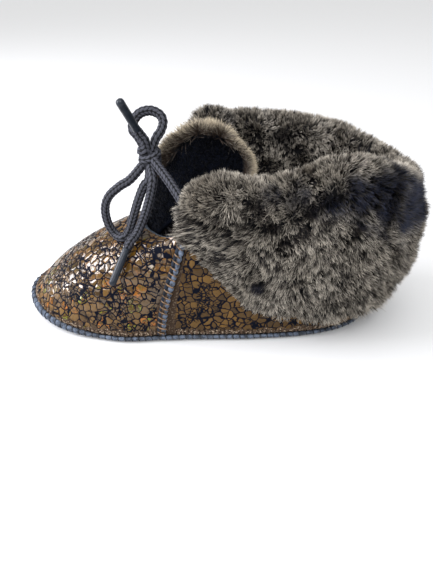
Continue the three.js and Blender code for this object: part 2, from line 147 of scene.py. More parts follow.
def slope(curve, t, step):
    """The direction in which a curve runs."""
    return unit(curve(t + step) - curve(t - step))


# The last: the same sizes and tables as the part's source

SOLE_LENGTH = 250
BALL_WIDTH = 92
SOLE_THICKNESS = 4
TOE_SPRING = 9
SPRING_START = 0.7
WALL = 3
GAP = 0.3
INSOLE_THICKNESS = 7
CREST_PILE = 16
LINING_PILE = 8
LACE_DIAMETER = 6
AGLET_DIAMETER = 4.8

PLAN = table(
    "along lateral medial",
    (0, 0, 0), (0.045, 0.23, 0.24), (0.155, 0.37, 0.38), (0.31, 0.435, 0.415), (0.434, 0.455, 0.42),
    (0.52, 0.465, 0.43), (0.587, 0.48, 0.45), (0.712, 0.5, 0.49), (0.866, 0.41, 0.44), (0.958, 0.22, 0.27),
    (0.992, -0.03, 0.03),
)
TOP = table(
    "along lateral medial lateral_z medial_z",
    (-0.018, 0, 0, 102, 102), (0.036, 0.23, 0.23, 107, 107), (0.144, 0.37, 0.37, 116.5, 117),
    (0.29, 0.41, 0.41, 106, 121), (0.405, 0.41, 0.41, 102.5, 122), (0.486, 0.39, 0.39, 99, 120),
    (0.51, 0.36, 0.36, 80, 82), (0.568, 0.28, 0.28, 72, 74), (0.616, 0.14, 0.15, 69.5, 70.5),
    (0.637, 0.05, 0.06, 70, 70), (0.645, 0, 0, 70, 70),
)
FORM = table(
    "low_out low_rise high_reach high_out high_drop",
    (10, 30, 0, 6, 30), (9, 30, 0, 5, 30), (6, 32, 0, 4, 32), (5, 34, 0, 4, 34), (4, 32, 0, 4, 32),
    (3, 30, 0.15, 4, 30), (2, 26, 0.3, 4, 18), (2, 24, 0.4, 4, 4), (2, 20, 0.42, 3, 3), (1, 13, 0.44, 2, 6),
    (0, 8, 0.45, 0, 7),
)

# Steps over which directions on the last are measured, as shares of its height or turn
CLIMB_STEP = 0.002
ONWARD_STEP = 0.002
ROUND_STEP = 0.001
EDGE_STEP = 0.0005


def around(lateral, medial):
    """A ring's values: heel to toe by the lateral column, and back by the medial one."""
    return np.concatenate([lateral, medial[-2:0:-1]])


def evenly(values):
    return around(values, values)


def lift(x):
    start = (SPRING_START - 0.5) * SOLE_LENGTH
    return TOE_SPRING * np.clip((x - start) / (SOLE_LENGTH / 2 - start), 0, 1) ** 2


def ring_of(rows, z):
    x = (evenly(rows["along"]) - 0.5) * SOLE_LENGTH
    y = around(rows["lateral"], -rows["medial"]) * BALL_WIDTH
    return np.stack([x, y, np.broadcast_to(z, x.shape)], axis=1)


def make_rails():
    plan = ring_of(PLAN, 0.0)
    outward = unit(np.cross(UP, np.roll(plan, -1, axis=0) - np.roll(plan, 1, axis=0)))
    form = {name: column(evenly(values)) for name, values in FORM.items()}
    bottom = plan + column(SOLE_THICKNESS + GAP + lift(plan[:, 0])) * UP
    low = bottom + outward * form["low_out"] + form["low_rise"] * UP
    top = ring_of(TOP, around(TOP["lateral_z"], TOP["medial_z"]))
    level = np.stack([bottom[:, 0], bottom[:, 1], top[:, 2]], axis=1)
    high = mix(top, level, form["high_reach"]) + outward * form["high_out"] - form["high_drop"] * UP
    return rail(plan), [rail(bottom), rail(low), rail(high), rail(top)]


PLAN_RAIL, RAILS = make_rails()


def skin(u, v):
    """The outside of the upper: u runs round the foot from the heel, v from the sole to the top edge."""
    u, v = np.broadcast_arrays(np.asarray(u, float), np.asarray(v, float))
    v = column(v)
    w = 1 - v
    bottom, low, high, top = (curve(u) for curve in RAILS)
    return w ** 3 * bottom + 3 * w ** 2 * v * low + 3 * w * v ** 2 * high + v ** 3 * top


def climb(u, v):
    return slope(lambda level: skin(u, level), v, CLIMB_STEP)


def normal(u, v):
    return unit(np.cross(climb(u, v), slope(lambda turn: skin(turn, v), u, ROUND_STEP)))


def edge_up(u):
    """Leaves the top edge square to it, in the wall's own plane."""
    edge = slope(RAILS[-1], u, EDGE_STEP)
    up = climb(u, np.ones_like(u))
    return unit(up - edge * column((up * edge).sum(-1)))


# Meshes


def round_faces(rings, sides, closed=False):
    """Quads between rings of points that lie one after the other; closed joins the last to the first."""
    i, k = np.meshgrid(np.arange(rings if closed else rings - 1), np.arange(sides), indexing="ij")
    here = i * sides
    after = (i + 1) % rings * sides
    beside = (k + 1) % sides
    return np.stack([here + k, here + beside, after + beside, after + k], axis=-1).reshape(-1, 4)


def capped(rings, sides):
    """Faces of a round body with closed ends."""
    ends = np.arange(sides)[None]
    return [round_faces(rings, sides), ends[:, ::-1], ends + (rings - 1) * sides]


def slab(top, under):
    """Points and faces of a closed slab between two grids of points."""
    rings = np.concatenate([top, under[:, ::-1]], axis=1)
    rows, count = rings.shape[:2]
    k = np.arange(count // 2 - 1)
    ladder = np.stack([k, count - 1 - k, count - 2 - k, k + 1], axis=1)
    return rings, [round_faces(rows, count), ladder, (ladder + (rows - 1) * count)[:, ::-1]]


def link(name, data):
    made = bpy.data.objects.new(name, data)
    bpy.context.scene.collection.objects.link(made)
    return made


def piece(name, points, faces, materials, slot, nodes=()):
    """A piece of the slipper from points in millimetres and arrays of faces with three or more corners."""
    points = np.reshape(points, (-1, 3))
    mesh = bpy.data.meshes.new(name)
    corners = np.concatenate([part.ravel() for part in faces])
    sizes = np.concatenate([np.full(len(part), part.shape[1]) for part in faces])
    mesh.vertices.add(len(points))
    mesh.vertices.foreach_set("co", np.ravel(points * MM).astype(np.float32))
    mesh.loops.add(len(corners))
    mesh.loops.foreach_set("vertex_index", corners.astype(np.int32))
    mesh.polygons.add(len(sizes))
    mesh.polygons.foreach_set("loop_start", (np.cumsum(sizes) - sizes).astype(np.int32))
    mesh.polygons.foreach_set("use_smooth", np.ones(len(sizes), bool))
    mesh.update(calc_edges=True)
    mesh.validate()
    for material in materials:
        mesh.materials.append(material)
    made = link(name, mesh)
    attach(made, "root")
    if nodes:
        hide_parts(*nodes)
    return made


def note(made, name, values):
    """Keeps a number for each point of a piece, which its material reads."""
    layer = made.data.attributes.new(name, "FLOAT", "POINT")
    layer.data.foreach_set("value", np.ravel(values).astype(np.float32))


def paint(made, colours):
    """Keeps a colour for each point of a piece."""
    opaque = np.concatenate([colours, np.ones((len(colours), 1))], axis=1)
    layer = made.data.attributes.new("tint", "FLOAT_COLOR", "POINT")
    layer.data.foreach_set("color", opaque.ravel().astype(np.float32))


def frames_along(path):
    """Two directions square to a path at each of its points, carried along without twist."""
    ahead = unit(np.gradient(path, axis=0))
    side = np.cross(ahead[0], np.eye(3)[np.argmin(np.abs(ahead[0]))])
    sides = []
    for direction in ahead:
        side = unit(side - direction * (side @ direction))
        sides.append(side)
    return np.array(sides), np.cross(ahead, sides)


def tube(path, radius, sides):
    """A capped round tube; radius is a number, a column by point or a table by point and side."""
    first, second = frames_along(path)
    spokes = turned(first[:, None], second[:, None], TURN * np.arange(sides) / sides)
    points = path[:, None] + spokes * column(np.broadcast_to(radius, spokes.shape[:2]))
    return points, capped(len(path), sides)


def joined(parts):
    """Several lots of points and faces as one."""
    points = [np.reshape(some, (-1, 3)) for some, _ in parts]
    starts = np.cumsum([0, *(len(some) for some in points)])
    faces = [lot + start for start, (_, lots) in zip(starts, parts) for lot in lots]
    return np.concatenate(points), faces


# Materials


class Shader:
    """A material and the nodes that lead to its surface; sizes and depths are millimetres."""

    def __init__(self, name):
        self.material = bpy.data.materials.new(name)
        self.material.use_nodes = True
        self.tree = self.material.node_tree
        self.surface = self.tree.nodes["Principled BSDF"]

    def put(self, socket, value):
        """Sets a socket to a number or a colour, or links it to another socket."""
        if isinstance(value, bpy.types.NodeSocket):
            self.tree.links.new(value, socket)
        elif socket.type == "RGBA":
            colour = linear(value) if isinstance(value, str) else value
            socket.default_value = (*colour, 1.0)
        else:
            socket.default_value = value

    def set(self, sockets):
        """Sets sockets of the surface by name."""
        for name, value in sockets.items():
            self.put(self.surface.inputs[name], value)

    def add(self, kind, inputs, **settings):
        """A node with its settings, and its sockets set to numbers, colours or other sockets."""
        node = self.tree.nodes.new("ShaderNode" + kind)
        for key, value in settings.items():
            setattr(node, key, value)
        for key, value in inputs.items():
            self.put(node.inputs[key], value)
        return node

    def maths(self, operation, a, b):
        return self.add("Math", {0: a, 1: b}, operation=operation).outputs[0]

    def times(self, a, b):
        return self.maths("MULTIPLY", a, b)

    def vectors(self, operation, a, b=(0.0, 0.0, 0.0)):
        return self.add("VectorMath", {0: a, 1: b}, operation=operation).outputs[0]

    def scaled(self, vector, scale):
        return self.add("VectorMath", {0: vector, "Scale": scale}, operation="SCALE").outputs[0]

    def ramp(self, value, low, high, start=0.0, end=1.0):
        """A value brought from one range to another with soft ends."""
        sockets = {"Value": value, "From Min": low, "From Max": high, "To Min": start, "To Max": end}
        return self.add("MapRange", sockets, interpolation_type="SMOOTHSTEP").outputs["Result"]

    def blend(self, factor, a, b):
        return self.add("Mix", {0: factor, 6: a, 7: b}, data_type="RGBA").outputs[2]

    def place(self):
        return self.add("TexCoord", {}).outputs["Object"]

    def noise(self, vector, size, detail=3.0, output="Fac"):
        """Cloudy noise with hills of a size."""
        sockets = {"Vector": vector, "Scale": 1 / (size * MM), "Detail": detail}
        return self.add("TexNoise", sockets).outputs[output]

    def cells(self, vector, size):
        """Cells of a size: a random colour for each, and the distance to its edge."""
        sockets = {"Vector": vector, "Scale": 1 / (size * MM)}
        own = self.add("TexVoronoi", sockets, feature="F1").outputs["Color"]
        return own, self.add("TexVoronoi", sockets, feature="DISTANCE_TO_EDGE").outputs["Distance"]

    def attribute(self, name, output="Fac"):
        return self.add("Attribute", {}, attribute_name=name).outputs[output]

    def relief(self, height, depth, **before):
        """Bump of a depth; before may hold the Normal that it starts from."""
        bumped = self.add("Bump", {"Height": height, "Distance": depth * MM, **before}).outputs["Normal"]
        self.set({"Normal": bumped})
        return bumped


# Foil: sizes of its flakes, of the splinters that some are split into, and of its noises
FLAKE = 4.9
SPLINTER = 3.2
FOIL_WARP = 3.6
WARP_SIZE = 6
WAVER_SIZE = 8
SPLIT_SIZE = 14
SHIMMER_SIZE = 1.6
FRAY_SIZE = 1.3
CRACK = 0.085
FLAKE_TILT = 0.3
FLAKE_DOME = 0.26
HALF_WAY = (0.5, 0.5, 0.5)


def foil_flakes(foil, spot):
    """The broken foil: its flakes and splinters, where flakes are split, and how whole and domed it is."""
    cloud = foil.noise(spot, WARP_SIZE, output="Color")
    warp = foil.scaled(foil.vectors("SUBTRACT", cloud, HALF_WAY), FOIL_WARP * MM)
    warped = foil.vectors("ADD", spot, warp)
    flake, edge = foil.cells(warped, FLAKE)
    splinter, fine_edge = foil.cells(warped, SPLINTER)
    wide = foil.ramp(foil.noise(spot, WAVER_SIZE), 0.35, 0.7, 0.7, 1.3)
    split = foil.ramp(foil.noise(spot, SPLIT_SIZE), 0.5, 0.6)
    whole = foil.ramp(foil.maths("DIVIDE", edge, wide), CRACK * 0.6, CRACK * 1.25)
    fine_whole = foil.ramp(fine_edge, CRACK * 0.7, CRACK * 1.6)
    fine_whole = foil.maths("MAXIMUM", fine_whole, foil.maths("SUBTRACT", 1.0, split))
    dome = foil.times(foil.ramp(edge, 0.0, 0.36), fine_whole)
    return flake, splinter, split, foil.times(whole, fine_whole), dome


def foil_colour(foil, spot, random, fine_random, intact):
    """Brown flakes, some with painted orange or green glints low on the vamp, over navy cracks."""
    brown = foil.blend(random[0], "3e2b0f", "6b4d1d")
    brown = foil.blend(foil.times(fine_random, 0.8), brown, "503a16")
    # Painted glints: orange and green flecks painted into the colour, strongest low on the vamp, stand in for
    # the foil's iridescent reflections.
    painted_glint = foil.attribute("painted_glint")
    patch = foil.noise(spot, SHIMMER_SIZE)
    orange = foil.times(foil.ramp(random[1], 0.7, 0.9), foil.ramp(patch, 0.45, 0.62))
    green = foil.times(foil.ramp(random[2], 0.72, 0.9), foil.ramp(patch, 0.5, 0.36))
    shimmer = foil.blend(foil.times(orange, painted_glint), brown, "a5600c")
    shimmer = foil.blend(foil.times(green, painted_glint), shimmer, "6f720a")
    return foil.blend(intact, "080d19", shimmer)


def hem_colour(foil, spot):
    """The plain hem along the seams, painted lighter on the crests of its folds as painted highlight, and
    frayed in places.
    """
    hem = foil.blend(foil.attribute("fold"), "271f18", "645144")
    frayed = foil.times(foil.ramp(foil.noise(spot, FRAY_SIZE), 0.54, 0.64), foil.attribute("frayed"))
    return foil.blend(frayed, hem, "b3a18b")


def flake_lean(foil, flake, splinter, split, bare):
    """The way that each flake faces, a little off the surface under it."""
    fine_lean = foil.scaled(foil.vectors("SUBTRACT", splinter, HALF_WAY), split)
    lean = foil.vectors("ADD", foil.vectors("SUBTRACT", flake, HALF_WAY), fine_lean)
    lean = foil.scaled(foil.scaled(lean, FLAKE_TILT), bare)
    true = foil.add("NewGeometry", {}).outputs["Normal"]
    return foil.vectors("NORMALIZE", foil.vectors("ADD", true, lean))


def foil_material():
    """Bronze foil broken into small domed flakes over navy-black leather, polished on the vamp."""
    foil = Shader("cracked_foil")
    spot = foil.place()
    flake, splinter, split, intact, dome = foil_flakes(foil, spot)
    random = foil.add("SeparateColor", {0: flake}).outputs
    fine_random = foil.times(foil.add("SeparateColor", {0: splinter}).outputs[0], split)
    colour = foil_colour(foil, spot, random, fine_random, intact)
    band = foil.attribute("band")
    bare = foil.maths("SUBTRACT", 1.0, band)
    polished = foil.times(foil.times(intact, bare), foil.ramp(foil.attribute("vamp"), 0.0, 1.0, 0.3, 1.0))
    gloss = foil.ramp(random[1], 0.0, 1.0, 0.2, 0.38)
    tilted = flake_lean(foil, flake, splinter, split, bare)
    foil.set({
        "Base Color": foil.blend(band, colour, hem_colour(foil, spot)),
        "Metallic": foil.times(polished, 0.15),
        "Roughness": foil.add("Mix", {0: polished, 2: 0.75, 3: gloss}, data_type="FLOAT").outputs[0],
        "Coat Weight": foil.times(polished, 0.55),
        "Coat Roughness": 0.15,
        "Coat IOR": 2.0,
        "Specular Tint": (0.45, 0.38, 0.32),
        "Specular IOR Level": 0.12,
        "Coat Normal": foil.relief(dome, FLAKE_DOME, Normal=tilted),
    })
    return foil.material


CLOUD_TO_GRAIN = 6
ROUGHNESS_SPREAD = 0.08


def hide_material(name, dark, light, grain_size, roughness, depth, **sockets):
    """Leather, suede or thread: two tones in a cloud, with a grain in relief."""
    hide = Shader(name)
    spot = hide.place()
    cloud = hide.noise(spot, grain_size * CLOUD_TO_GRAIN, 4.0)
    grain = hide.noise(spot, grain_size, 4.0)
    tone = hide.maths("ADD", hide.times(cloud, 0.6), hide.times(grain, 0.4))
    dull = (roughness - ROUGHNESS_SPREAD, roughness + ROUGHNESS_SPREAD)
    hide.set({
        "Base Color": hide.blend(hide.ramp(tone, 0.38, 0.62), dark, light),
        "Roughness": hide.ramp(grain, 0.3, 0.7, *dull),
        "Specular IOR Level": 0.3,
        **sockets,
    })
    hide.relief(grain, depth)
    return hide.material


SUEDE_SHEEN = {
    "Specular IOR Level": 0.1,
    "Sheen Weight": 0.03,
    "Sheen Roughness": 0.5,
    "Sheen Tint": (0.25, 0.32, 0.55),
}


def fur_material():
    """Hairs take the colour kept on their points, darker at the root."""
    fur = Shader("sheepskin_fur")
    fur.set({"Base Color": fur.attribute("tint", "Color"), "Roughness": 0.65, "Specular IOR Level": 0.25})
    return fur.material


LINT_SIZE = 0.5
LINT_DEPTH = 0.15


def lace_material():
    """Charcoal braid: strands lighter than the gaps between them, which are painted near-black as painted
    shade.
    """
    lace = Shader("braided_cotton")
    strand = lace.ramp(lace.attribute("strand"), 0.25, 0.75)
    lint = lace.noise(lace.place(), LINT_SIZE)
    thread = lace.blend(lint, "36373e", "575861")
    lace.set({
        # The gaps between strands are painted near-black: painted shade in the braid's hollows.
        "Base Color": lace.blend(strand, "060709", thread),
        "Roughness": 0.85,
        "Specular IOR Level": 0.25,
    })
    lace.relief(lint, LINT_DEPTH)
    return lace.material


STREAK_SIZE = 4


def aglet_material():
    """Clear hard sleeve over the grey lace end."""
    sleeve = Shader("aglet_sleeve")
    streak = sleeve.noise(sleeve.place(), STREAK_SIZE)
    sleeve.set({
        "Base Color": sleeve.blend(streak, "151920", "2a313b"),
        "Roughness": sleeve.ramp(streak, 0.3, 0.7, 0.32, 0.46),
        "Specular IOR Level": 0.27,
        "Coat Weight": 0.08,
        "Coat Roughness": 0.08,
    })
    return sleeve.material


FOIL = foil_material()
CUT_EDGE = hide_material("cut_leather_edge", "2d323b", "667183", 0.8, 0.7, 0.3)
NAVY_EDGE = hide_material("navy_leather_edge", "0d1119", "1f2937", 0.8, 0.75, 0.2)
RIM_EDGE = hide_material("throat_edge", "262c34", "515c69", 0.8, 0.75, 0.2)
DARK_THREAD = hide_material("sole_thread", "1b1c20", "40434a", 0.4, 0.85, 0.1)
THREAD = hide_material("seam_thread", "54412f", "967a5f", 0.4, 0.8, 0.1)
SOLE_HIDE = hide_material("sole_suede", "17191f", "2b2f38", 1.2, 0.9, 0.3)
FUR_HIDE = hide_material("fur_roots", "0b0c11", "1d1b1d", 1.5, 0.95, 0.6)
SUEDE = hide_material("navy_suede", "020307", "070b16", 0.9, 0.92, 0.25, **SUEDE_SHEEN)
FUR = fur_material()
LACE = lace_material()
AGLET = aglet_material()

# Camera, floor and lights

CAMERA_AT = (-22.9, 267.8, 207.8)
CAMERA_PITCH = math.radians(36)
CAMERA_YAW = math.radians(1.8)
FRAME_WIDTH_PIXELS = 433
FOCAL_PIXELS = 433
SENSOR = 36
CLIP_START = 10


def make_camera():
    level = math.cos(CAMERA_PITCH)
    ahead = Vector((math.sin(CAMERA_YAW) * level, -math.cos(CAMERA_YAW) * level, -math.sin(CAMERA_PITCH)))
    right = ahead.cross(Vector(UP)).normalized()
    up = right.cross(ahead)
    data = bpy.data.cameras.new("camera")
    data.sensor_fit = "HORIZONTAL"
    data.sensor_width = SENSOR
    data.lens = SENSOR * FOCAL_PIXELS / FRAME_WIDTH_PIXELS
    data.clip_start = CLIP_START * MM
    camera = link("camera", data)
    turn = Matrix((right, up, -ahead)).transposed().to_4x4()
    camera.matrix_world = Matrix.Translation(Vector(CAMERA_AT) * MM) @ turn
    bpy.context.scene.camera = camera


FLOOR_HALF = 60000
FLOOR_TONE = (0.7, 0.7, 0.7)


def make_floor():
    half = FLOOR_HALF * MM
    mesh = bpy.data.meshes.new("floor")
    corners = [(-half, -half, 0), (half, -half, 0), (half, half, 0), (-half, half, 0)]
    mesh.from_pydata(corners, [], [(0, 1, 2, 3)])
    pale = Shader("pale_floor")
    pale.set({"Base Color": FLOOR_TONE, "Roughness": 0.9})
    mesh.materials.append(pale.material)
    link("floor", mesh)


LIGHT_AIM = (20, 0, 60)
SKY_POWER = 2.3
SKY_ANGLE = math.radians(70)
SKY_WAY = (-0.25, -0.25, -1.0)
STUDIO_TINT = (0.97, 0.98, 1.0)
STUDIO_STRENGTH = 0.4
TOE_TINT = (0.93, 0.94, 1.0)


def light(name, kind, way, power):
    data = bpy.data.lights.new(name, kind)
    data.energy = power
    made = link(name, data)
    made.rotation_euler = Vector(way).to_track_quat("-Z", "Y").to_euler()
    return made


def soft_light(name, at, size, power, tint):
    """A square softbox that looks at the middle of the slipper."""
    box = light(name, "AREA", (Vector(LIGHT_AIM) - Vector(at)) * MM, power)
    box.location = Vector(at) * MM
    box.data.size = size * MM
    box.data.color = tint


def make_lights():
    light("sky", "SUN", SKY_WAY, SKY_POWER).data.angle = SKY_ANGLE
    soft_light("toe", (1250, 80, 680), 700, 24, TOE_TINT)
    soft_light("fill", (-300, 1300, 1700), 1000, 18, STUDIO_TINT)
    world = bpy.data.worlds.new("studio")
    world.use_nodes = True
    background = world.node_tree.nodes["Background"]
    background.inputs["Color"].default_value = (*STUDIO_TINT, 1.0)
    background.inputs["Strength"].default_value = STUDIO_STRENGTH
    bpy.context.scene.world = world
    bpy.context.scene.view_settings.view_transform = "Standard"


make_camera()
make_floor()
make_lights()

# Lace: the routes of the part's source, with a braid in relief

KNOT = (26, 8, 118)
BAR = [
    (3.5, 36, 99), (7, 31.5, 103), (15, 22, 110.5), KNOT, (29, -8, 114), (25.5, -25, 108.5), (13, -34, 105),
    (5, -37, 104),
]
LOOP_LOWER = [
    (38.2, 12, 105), (45.6, 12.6, 100.3), (53.4, 13, 93.6), (57, 13.5, 85.5), (56.6, 14, 75.4),
    (52.6, 15.3, 67.8), (47, 19.6, 67.3), (42.7, 18.2, 70.6), (38.8, 17, 80.6), (34.5, 15.5, 92),
    (30.3, 14, 101), (26.6, 13.5, 106),
]
LOOP_UPPER = [
    (21.8, 6, 127.8), (19.2, 3, 131), (17.6, 0, 135.6), (19.4, -2, 139.4), (24.8, -3, 141.6),
    (31, -2.2, 140.6), (35.2, 0, 136.6), (35.8, 2.2, 131.5), (32.4, 4.2, 127.8),
]
END_LOWER = [
    (24.6, 14.5, 111), (23.4, 18.6, 107), (25.2, 19.6, 98.9), (29.1, 20.5, 87.2), (33.2, 21.5, 77.8),
    (36.8, 23.6, 71.4), (39.4, 26.3, 69.2), (42.2, 30.2, 65.3),
]
AGLET_LOWER_TIP = (51, 46, 47.2)
END_UPPER = [(26, 7.6, 113.5), (26.6, 8.6, 119), (27.6, 10.6, 128), (29.9, 11.6, 132), (31.2, 13.8, 135.6)]
AGLET_UPPER_TIP = (35.3, 30.3, 154.7)

# The loops and the lower end start inside the knot, and a loop's first and last points are left out
INSIDE_KNOT = (26, 9, 118)
LOOP_TRIM = slice(3, -3)

BRAID_COLUMNS = 6
BRAID_AROUND = 24
BRAID_PITCH = 2.7
BRAID_STEP = 0.5
BRAID_DEPTH = 0.22
STRAND_ROUND = 0.6
STRAND_TAPER = 0.75


def braided(name, path, radius, nodes):
    """A round braid along a path: columns of slanted strands that lean by turns to either side."""
    turn = np.arange(BRAID_AROUND) * BRAID_COLUMNS / BRAID_AROUND
    across = turn % 1 - 0.5
    slant = np.where(np.floor(turn) % 2 == 0, 1, -1)
    phase = column(run_of(path)) / BRAID_PITCH + slant * across
    strand = np.abs(np.sin(math.pi * phase)) ** STRAND_ROUND * (1 - STRAND_TAPER * np.abs(2 * across) ** 3)
    thick = column(np.broadcast_to(radius, len(path))) * (1 - BRAID_DEPTH * (1 - strand))
    made = piece(name, *tube(path, thick, BRAID_AROUND), [LACE], "lace", nodes)
    note(made, "strand", strand)
    return made


def free_lace(name, path, radius, nodes):
    """A free stretch of the lace."""
    made = braided(name, path, radius, nodes)


# Aglet: shares of its length where it is crimped and where its tip rounds off
AGLET_SIDES = 20
AGLET_STEPS = 24
AGLET_CRIMPS = (0.12, 0.22)
AGLET_CRIMP = 0.07
AGLET_MOUTH = 0.06
AGLET_DETAIL = 0.03
AGLET_TIP = 0.07
AGLET_BLUNT = 0.08


def aglet(node, start, tip):
    """A crimped sleeve with a rounded mouth and tip."""
    t = np.linspace(0, 1, AGLET_STEPS)
    past = np.clip(t - 1 + AGLET_TIP, 0, 1) / AGLET_TIP
    swell = np.sqrt(np.clip(1 - past ** 2, AGLET_BLUNT, 1))
    crimp = 1 - AGLET_CRIMP * sum(bump(t - at, AGLET_DETAIL) for at in AGLET_CRIMPS)
    mouth = 1 + AGLET_MOUTH * bump(t, AGLET_DETAIL)
    radius = AGLET_DIAMETER / 2 * swell * crimp * mouth
    shape = tube(start + (tip - start) * column(t), column(radius), AGLET_SIDES)
    return piece(f"{node}_sleeve", *shape, [AGLET], "aglet", [node])


SLEEVED = (0.3, 0.6, 0.85)
SLEEVED_RADIUS = 1.9
SQUEEZE_BEFORE = 1.5
SQUEEZE_RUN = 2


def sleeved_end(name, route, tip, node, aglet_node):
    """A lace end that runs on inside its aglet, where it is squeezed thinner."""
    tip = np.array(tip, float)
    last = np.array(route[-1], float)
    path = curve_through([*route, *(mix(last, tip, share) for share in SLEEVED)], BRAID_STEP)
    run = run_of(path)
    inside = run[-1] - SLEEVED[-1] * np.linalg.norm(tip - last)
    squeezed = smooth((run - inside + SQUEEZE_BEFORE) / SQUEEZE_RUN)
    sleeve = aglet(aglet_node, last, tip)
    free_lace(name, path, mix(LACE_DIAMETER / 2, SLEEVED_RADIUS, squeezed), [node])


KNOT_WRAP = 4.6
KNOT_TURNS = 1.9
KNOT_START = 0.6
KNOT_HEIGHT = 9.5
KNOT_AXIS = (0.1, 0.12, 1.0)
KNOT_TUCK = 0.15
KNOT_TUCKED = 0.14
KNOT_STEPS = 60
KNOT_KEPT = slice(None, None, 3)


def make_knot():
    """The wrap of the bow's knot, a short helix round the strands."""
    t = np.linspace(0, 1, KNOT_STEPS)
    axis = unit(np.array(KNOT_AXIS))
    side = unit(np.cross(axis, (1.0, 0, 0)))
    spokes = turned(side, np.cross(axis, side), TURN * KNOT_TURNS * t + KNOT_START)
    wrap = KNOT_WRAP * mix(KNOT_TUCK, 1, smooth(np.minimum(t, 1 - t) / KNOT_TUCKED))
    path = np.array(KNOT) + column(wrap) * spokes + axis * column(KNOT_HEIGHT * (t - 0.5))
    path = curve_through(path[KNOT_KEPT], BRAID_STEP)
    return braided("lace_knot_wrap", path, LACE_DIAMETER / 2, ["lace_knot"])


def make_lace():
    half = LACE_DIAMETER / 2
    braided("lace_bar_braid", curve_through(BAR, BRAID_STEP), half, ["lace_bar"])
    knot = make_knot()
    for which, route, with_pieces in (("lower", LOOP_LOWER, [knot]), ("upper", LOOP_UPPER, [])):
        path = curve_through([INSIDE_KNOT, *route, INSIDE_KNOT], BRAID_STEP)[LOOP_TRIM]
        free_lace(f"bow_loop_{which}", path, half, [f"lace_loop_{which}"])
    sleeved_end("lace_end_low", [INSIDE_KNOT, *END_LOWER], AGLET_LOWER_TIP, "lace_end_lower", "aglet_lower")
    sleeved_end("lace_end_high", END_UPPER, AGLET_UPPER_TIP, "lace_end_upper", "aglet_upper")


# Upper: the foil wall, with its gathers, creases and rolled rim

UPPER_ROUND = 600
UPPER_HIGH = 80
RIM_STEPS = 3
RIM_ROUND = 0.7
INNER_HIGH = 16

# Side seams: place, half width and slope as shares of the turn
SIDE_SEAM_U = 0.3
SIDE_SEAM_RISE = 1.8
SIDE_SEAM_HALF = 0.0055
SIDE_SEAM_SLOPE = 0.003
SEAM_GROOVE = 0.5
SEAM_GROOVE_AT = 0.0095
SEAM_BORDER = 0.0105
SEAM_STRIP = 0.026

# Hem: how high it reaches, and the folds that the sole seam gathers it into
BAND_TOP = 6.5
BAND_WAVER = 1.2
BAND_FADE = 2.5
GATHER_PITCH = 3.3
GATHER_WANDER = 1.6
GATHER_DEPTH = 0.4
GATHER_TOE = 0.14
GATHER_HIGH = 4.5
GATHER_REACH = 3.8
UNEVEN_DEPTH = 0.35

# Pinches of the hem: rise, height and reach
PINCHES = ((0.8, 6.5, 4.0), (0.5, 2, 2.5))

# Creases of the foil: the two ends of each, in millimetres, its depth and half its width
CREASES = table(
    "x0 y0 z0 x1 y1 z1 depth width",
    (34, 33, 57, 11, 40, 57, 1.3, 2.4), (60, 36, 40, 30, 42, 46, 0.7, 3.5), (84, 30, 30, 62, 42, 27, 0.7, 3),
    (34, -33, 58, 11, -38, 59, 1.2, 2.4), (60, -36, 42, 28, -40, 46, 0.7, 3.5),
    (98, 8, 36, 90, -16, 39, 0.6, 3), (66, 12, 55, 58, -14, 57, 0.6, 4), (104, 14, 26, 96, 26, 26, 0.7, 2.5),
    (104, -12, 28, 97, -26, 26, 0.7, 2.5),
)
CREASE_RIDGE = 0.45
CREASE_RIDGE_AT = 2.2


def creases(points):
    """Soft troughs with a low ridge beside them, along short straight lines."""
    total = np.zeros(points.shape[:-1])
    for x0, y0, z0, x1, y1, z1, depth, width in zip(*CREASES.values()):
        start = np.array([x0, y0, z0])
        line = np.array([x1, y1, z1]) - start
        share = np.clip((points - start) @ line / (line @ line), 0, 1)
        apart = np.linalg.norm(points - start - column(share) * line, axis=-1)
        fade = smooth(4 * share) * smooth(4 - 4 * share) * 0.6 + 0.4
        ridge = CREASE_RIDGE * bump(apart - CREASE_RIDGE_AT * width, width)
        total += depth * fade * (ridge - bump(apart, width))
    return total


def past_side_seam(u):
    """How far a share of the turn lies ahead of the nearer side seam, to the toe; negative behind it."""
    return 0.5 - SIDE_SEAM_U - np.abs(u % 1 - 0.5)


def upper_relief(u, v, high, run, points):
    """Millimetres that the foil stands proud of the plain last, and how far each point is up a gather."""
    apart = np.abs(past_side_seam(u))
    ridge = SIDE_SEAM_RISE * smooth((SIDE_SEAM_HALF - apart) / SIDE_SEAM_SLOPE) * smooth(high / 2)
    ridge = ridge - SEAM_GROOVE * bump(apart - SEAM_GROOVE_AT, SIDE_SEAM_SLOPE)
    pinch = sum(rise * bump(high - at, reach) for rise, at, reach in PINCHES)
    wave = np.sin(TURN * run / GATHER_PITCH + GATHER_WANDER * waves(points, 22, 11))
    strength = GATHER_DEPTH * (1 + bump(u - 0.5, GATHER_TOE))
    gathers = strength * wave * bump(high - GATHER_HIGH, GATHER_REACH)
    uneven = UNEVEN_DEPTH * waves(points, 42, 12) * smooth(high / 12) * smooth((1 - v) / 0.1)
    return ridge + pinch + gathers + uneven + creases(points), 0.5 + 0.5 * wave


def foil_marks(u, high, folds, points):
    """What the foil's material reads at each point."""
    edge = smooth((BAND_TOP + BAND_WAVER * waves(points, 6, 13) - high) / BAND_FADE)
    ahead = past_side_seam(u)
    border = np.where(ahead > 0, SEAM_BORDER, SEAM_STRIP) + 0.002 * waves(points, 5, 14)
    beside = smooth((border - np.abs(ahead)) / 0.003)
    front = smooth(ahead / 0.01)
    z = points[..., 2]
    return {
        "band": np.maximum(edge, beside),
        # Painted highlight: the hem is painted lighter on the crests of its gathers.
        "fold": mix(folds, 0.25, beside),
        "frayed": mix(edge, 0.2, beside),
        "vamp": front * mix(0.4, 1, smooth((z - 18) / 20)),
        # Where orange and green glints are painted on the flakes: on the vamp, more strongly low down.
        "painted_glint": front * mix(0.25, 1, smooth((46 + 6 * waves(points, 30, 16) - z) / 14)),
    }


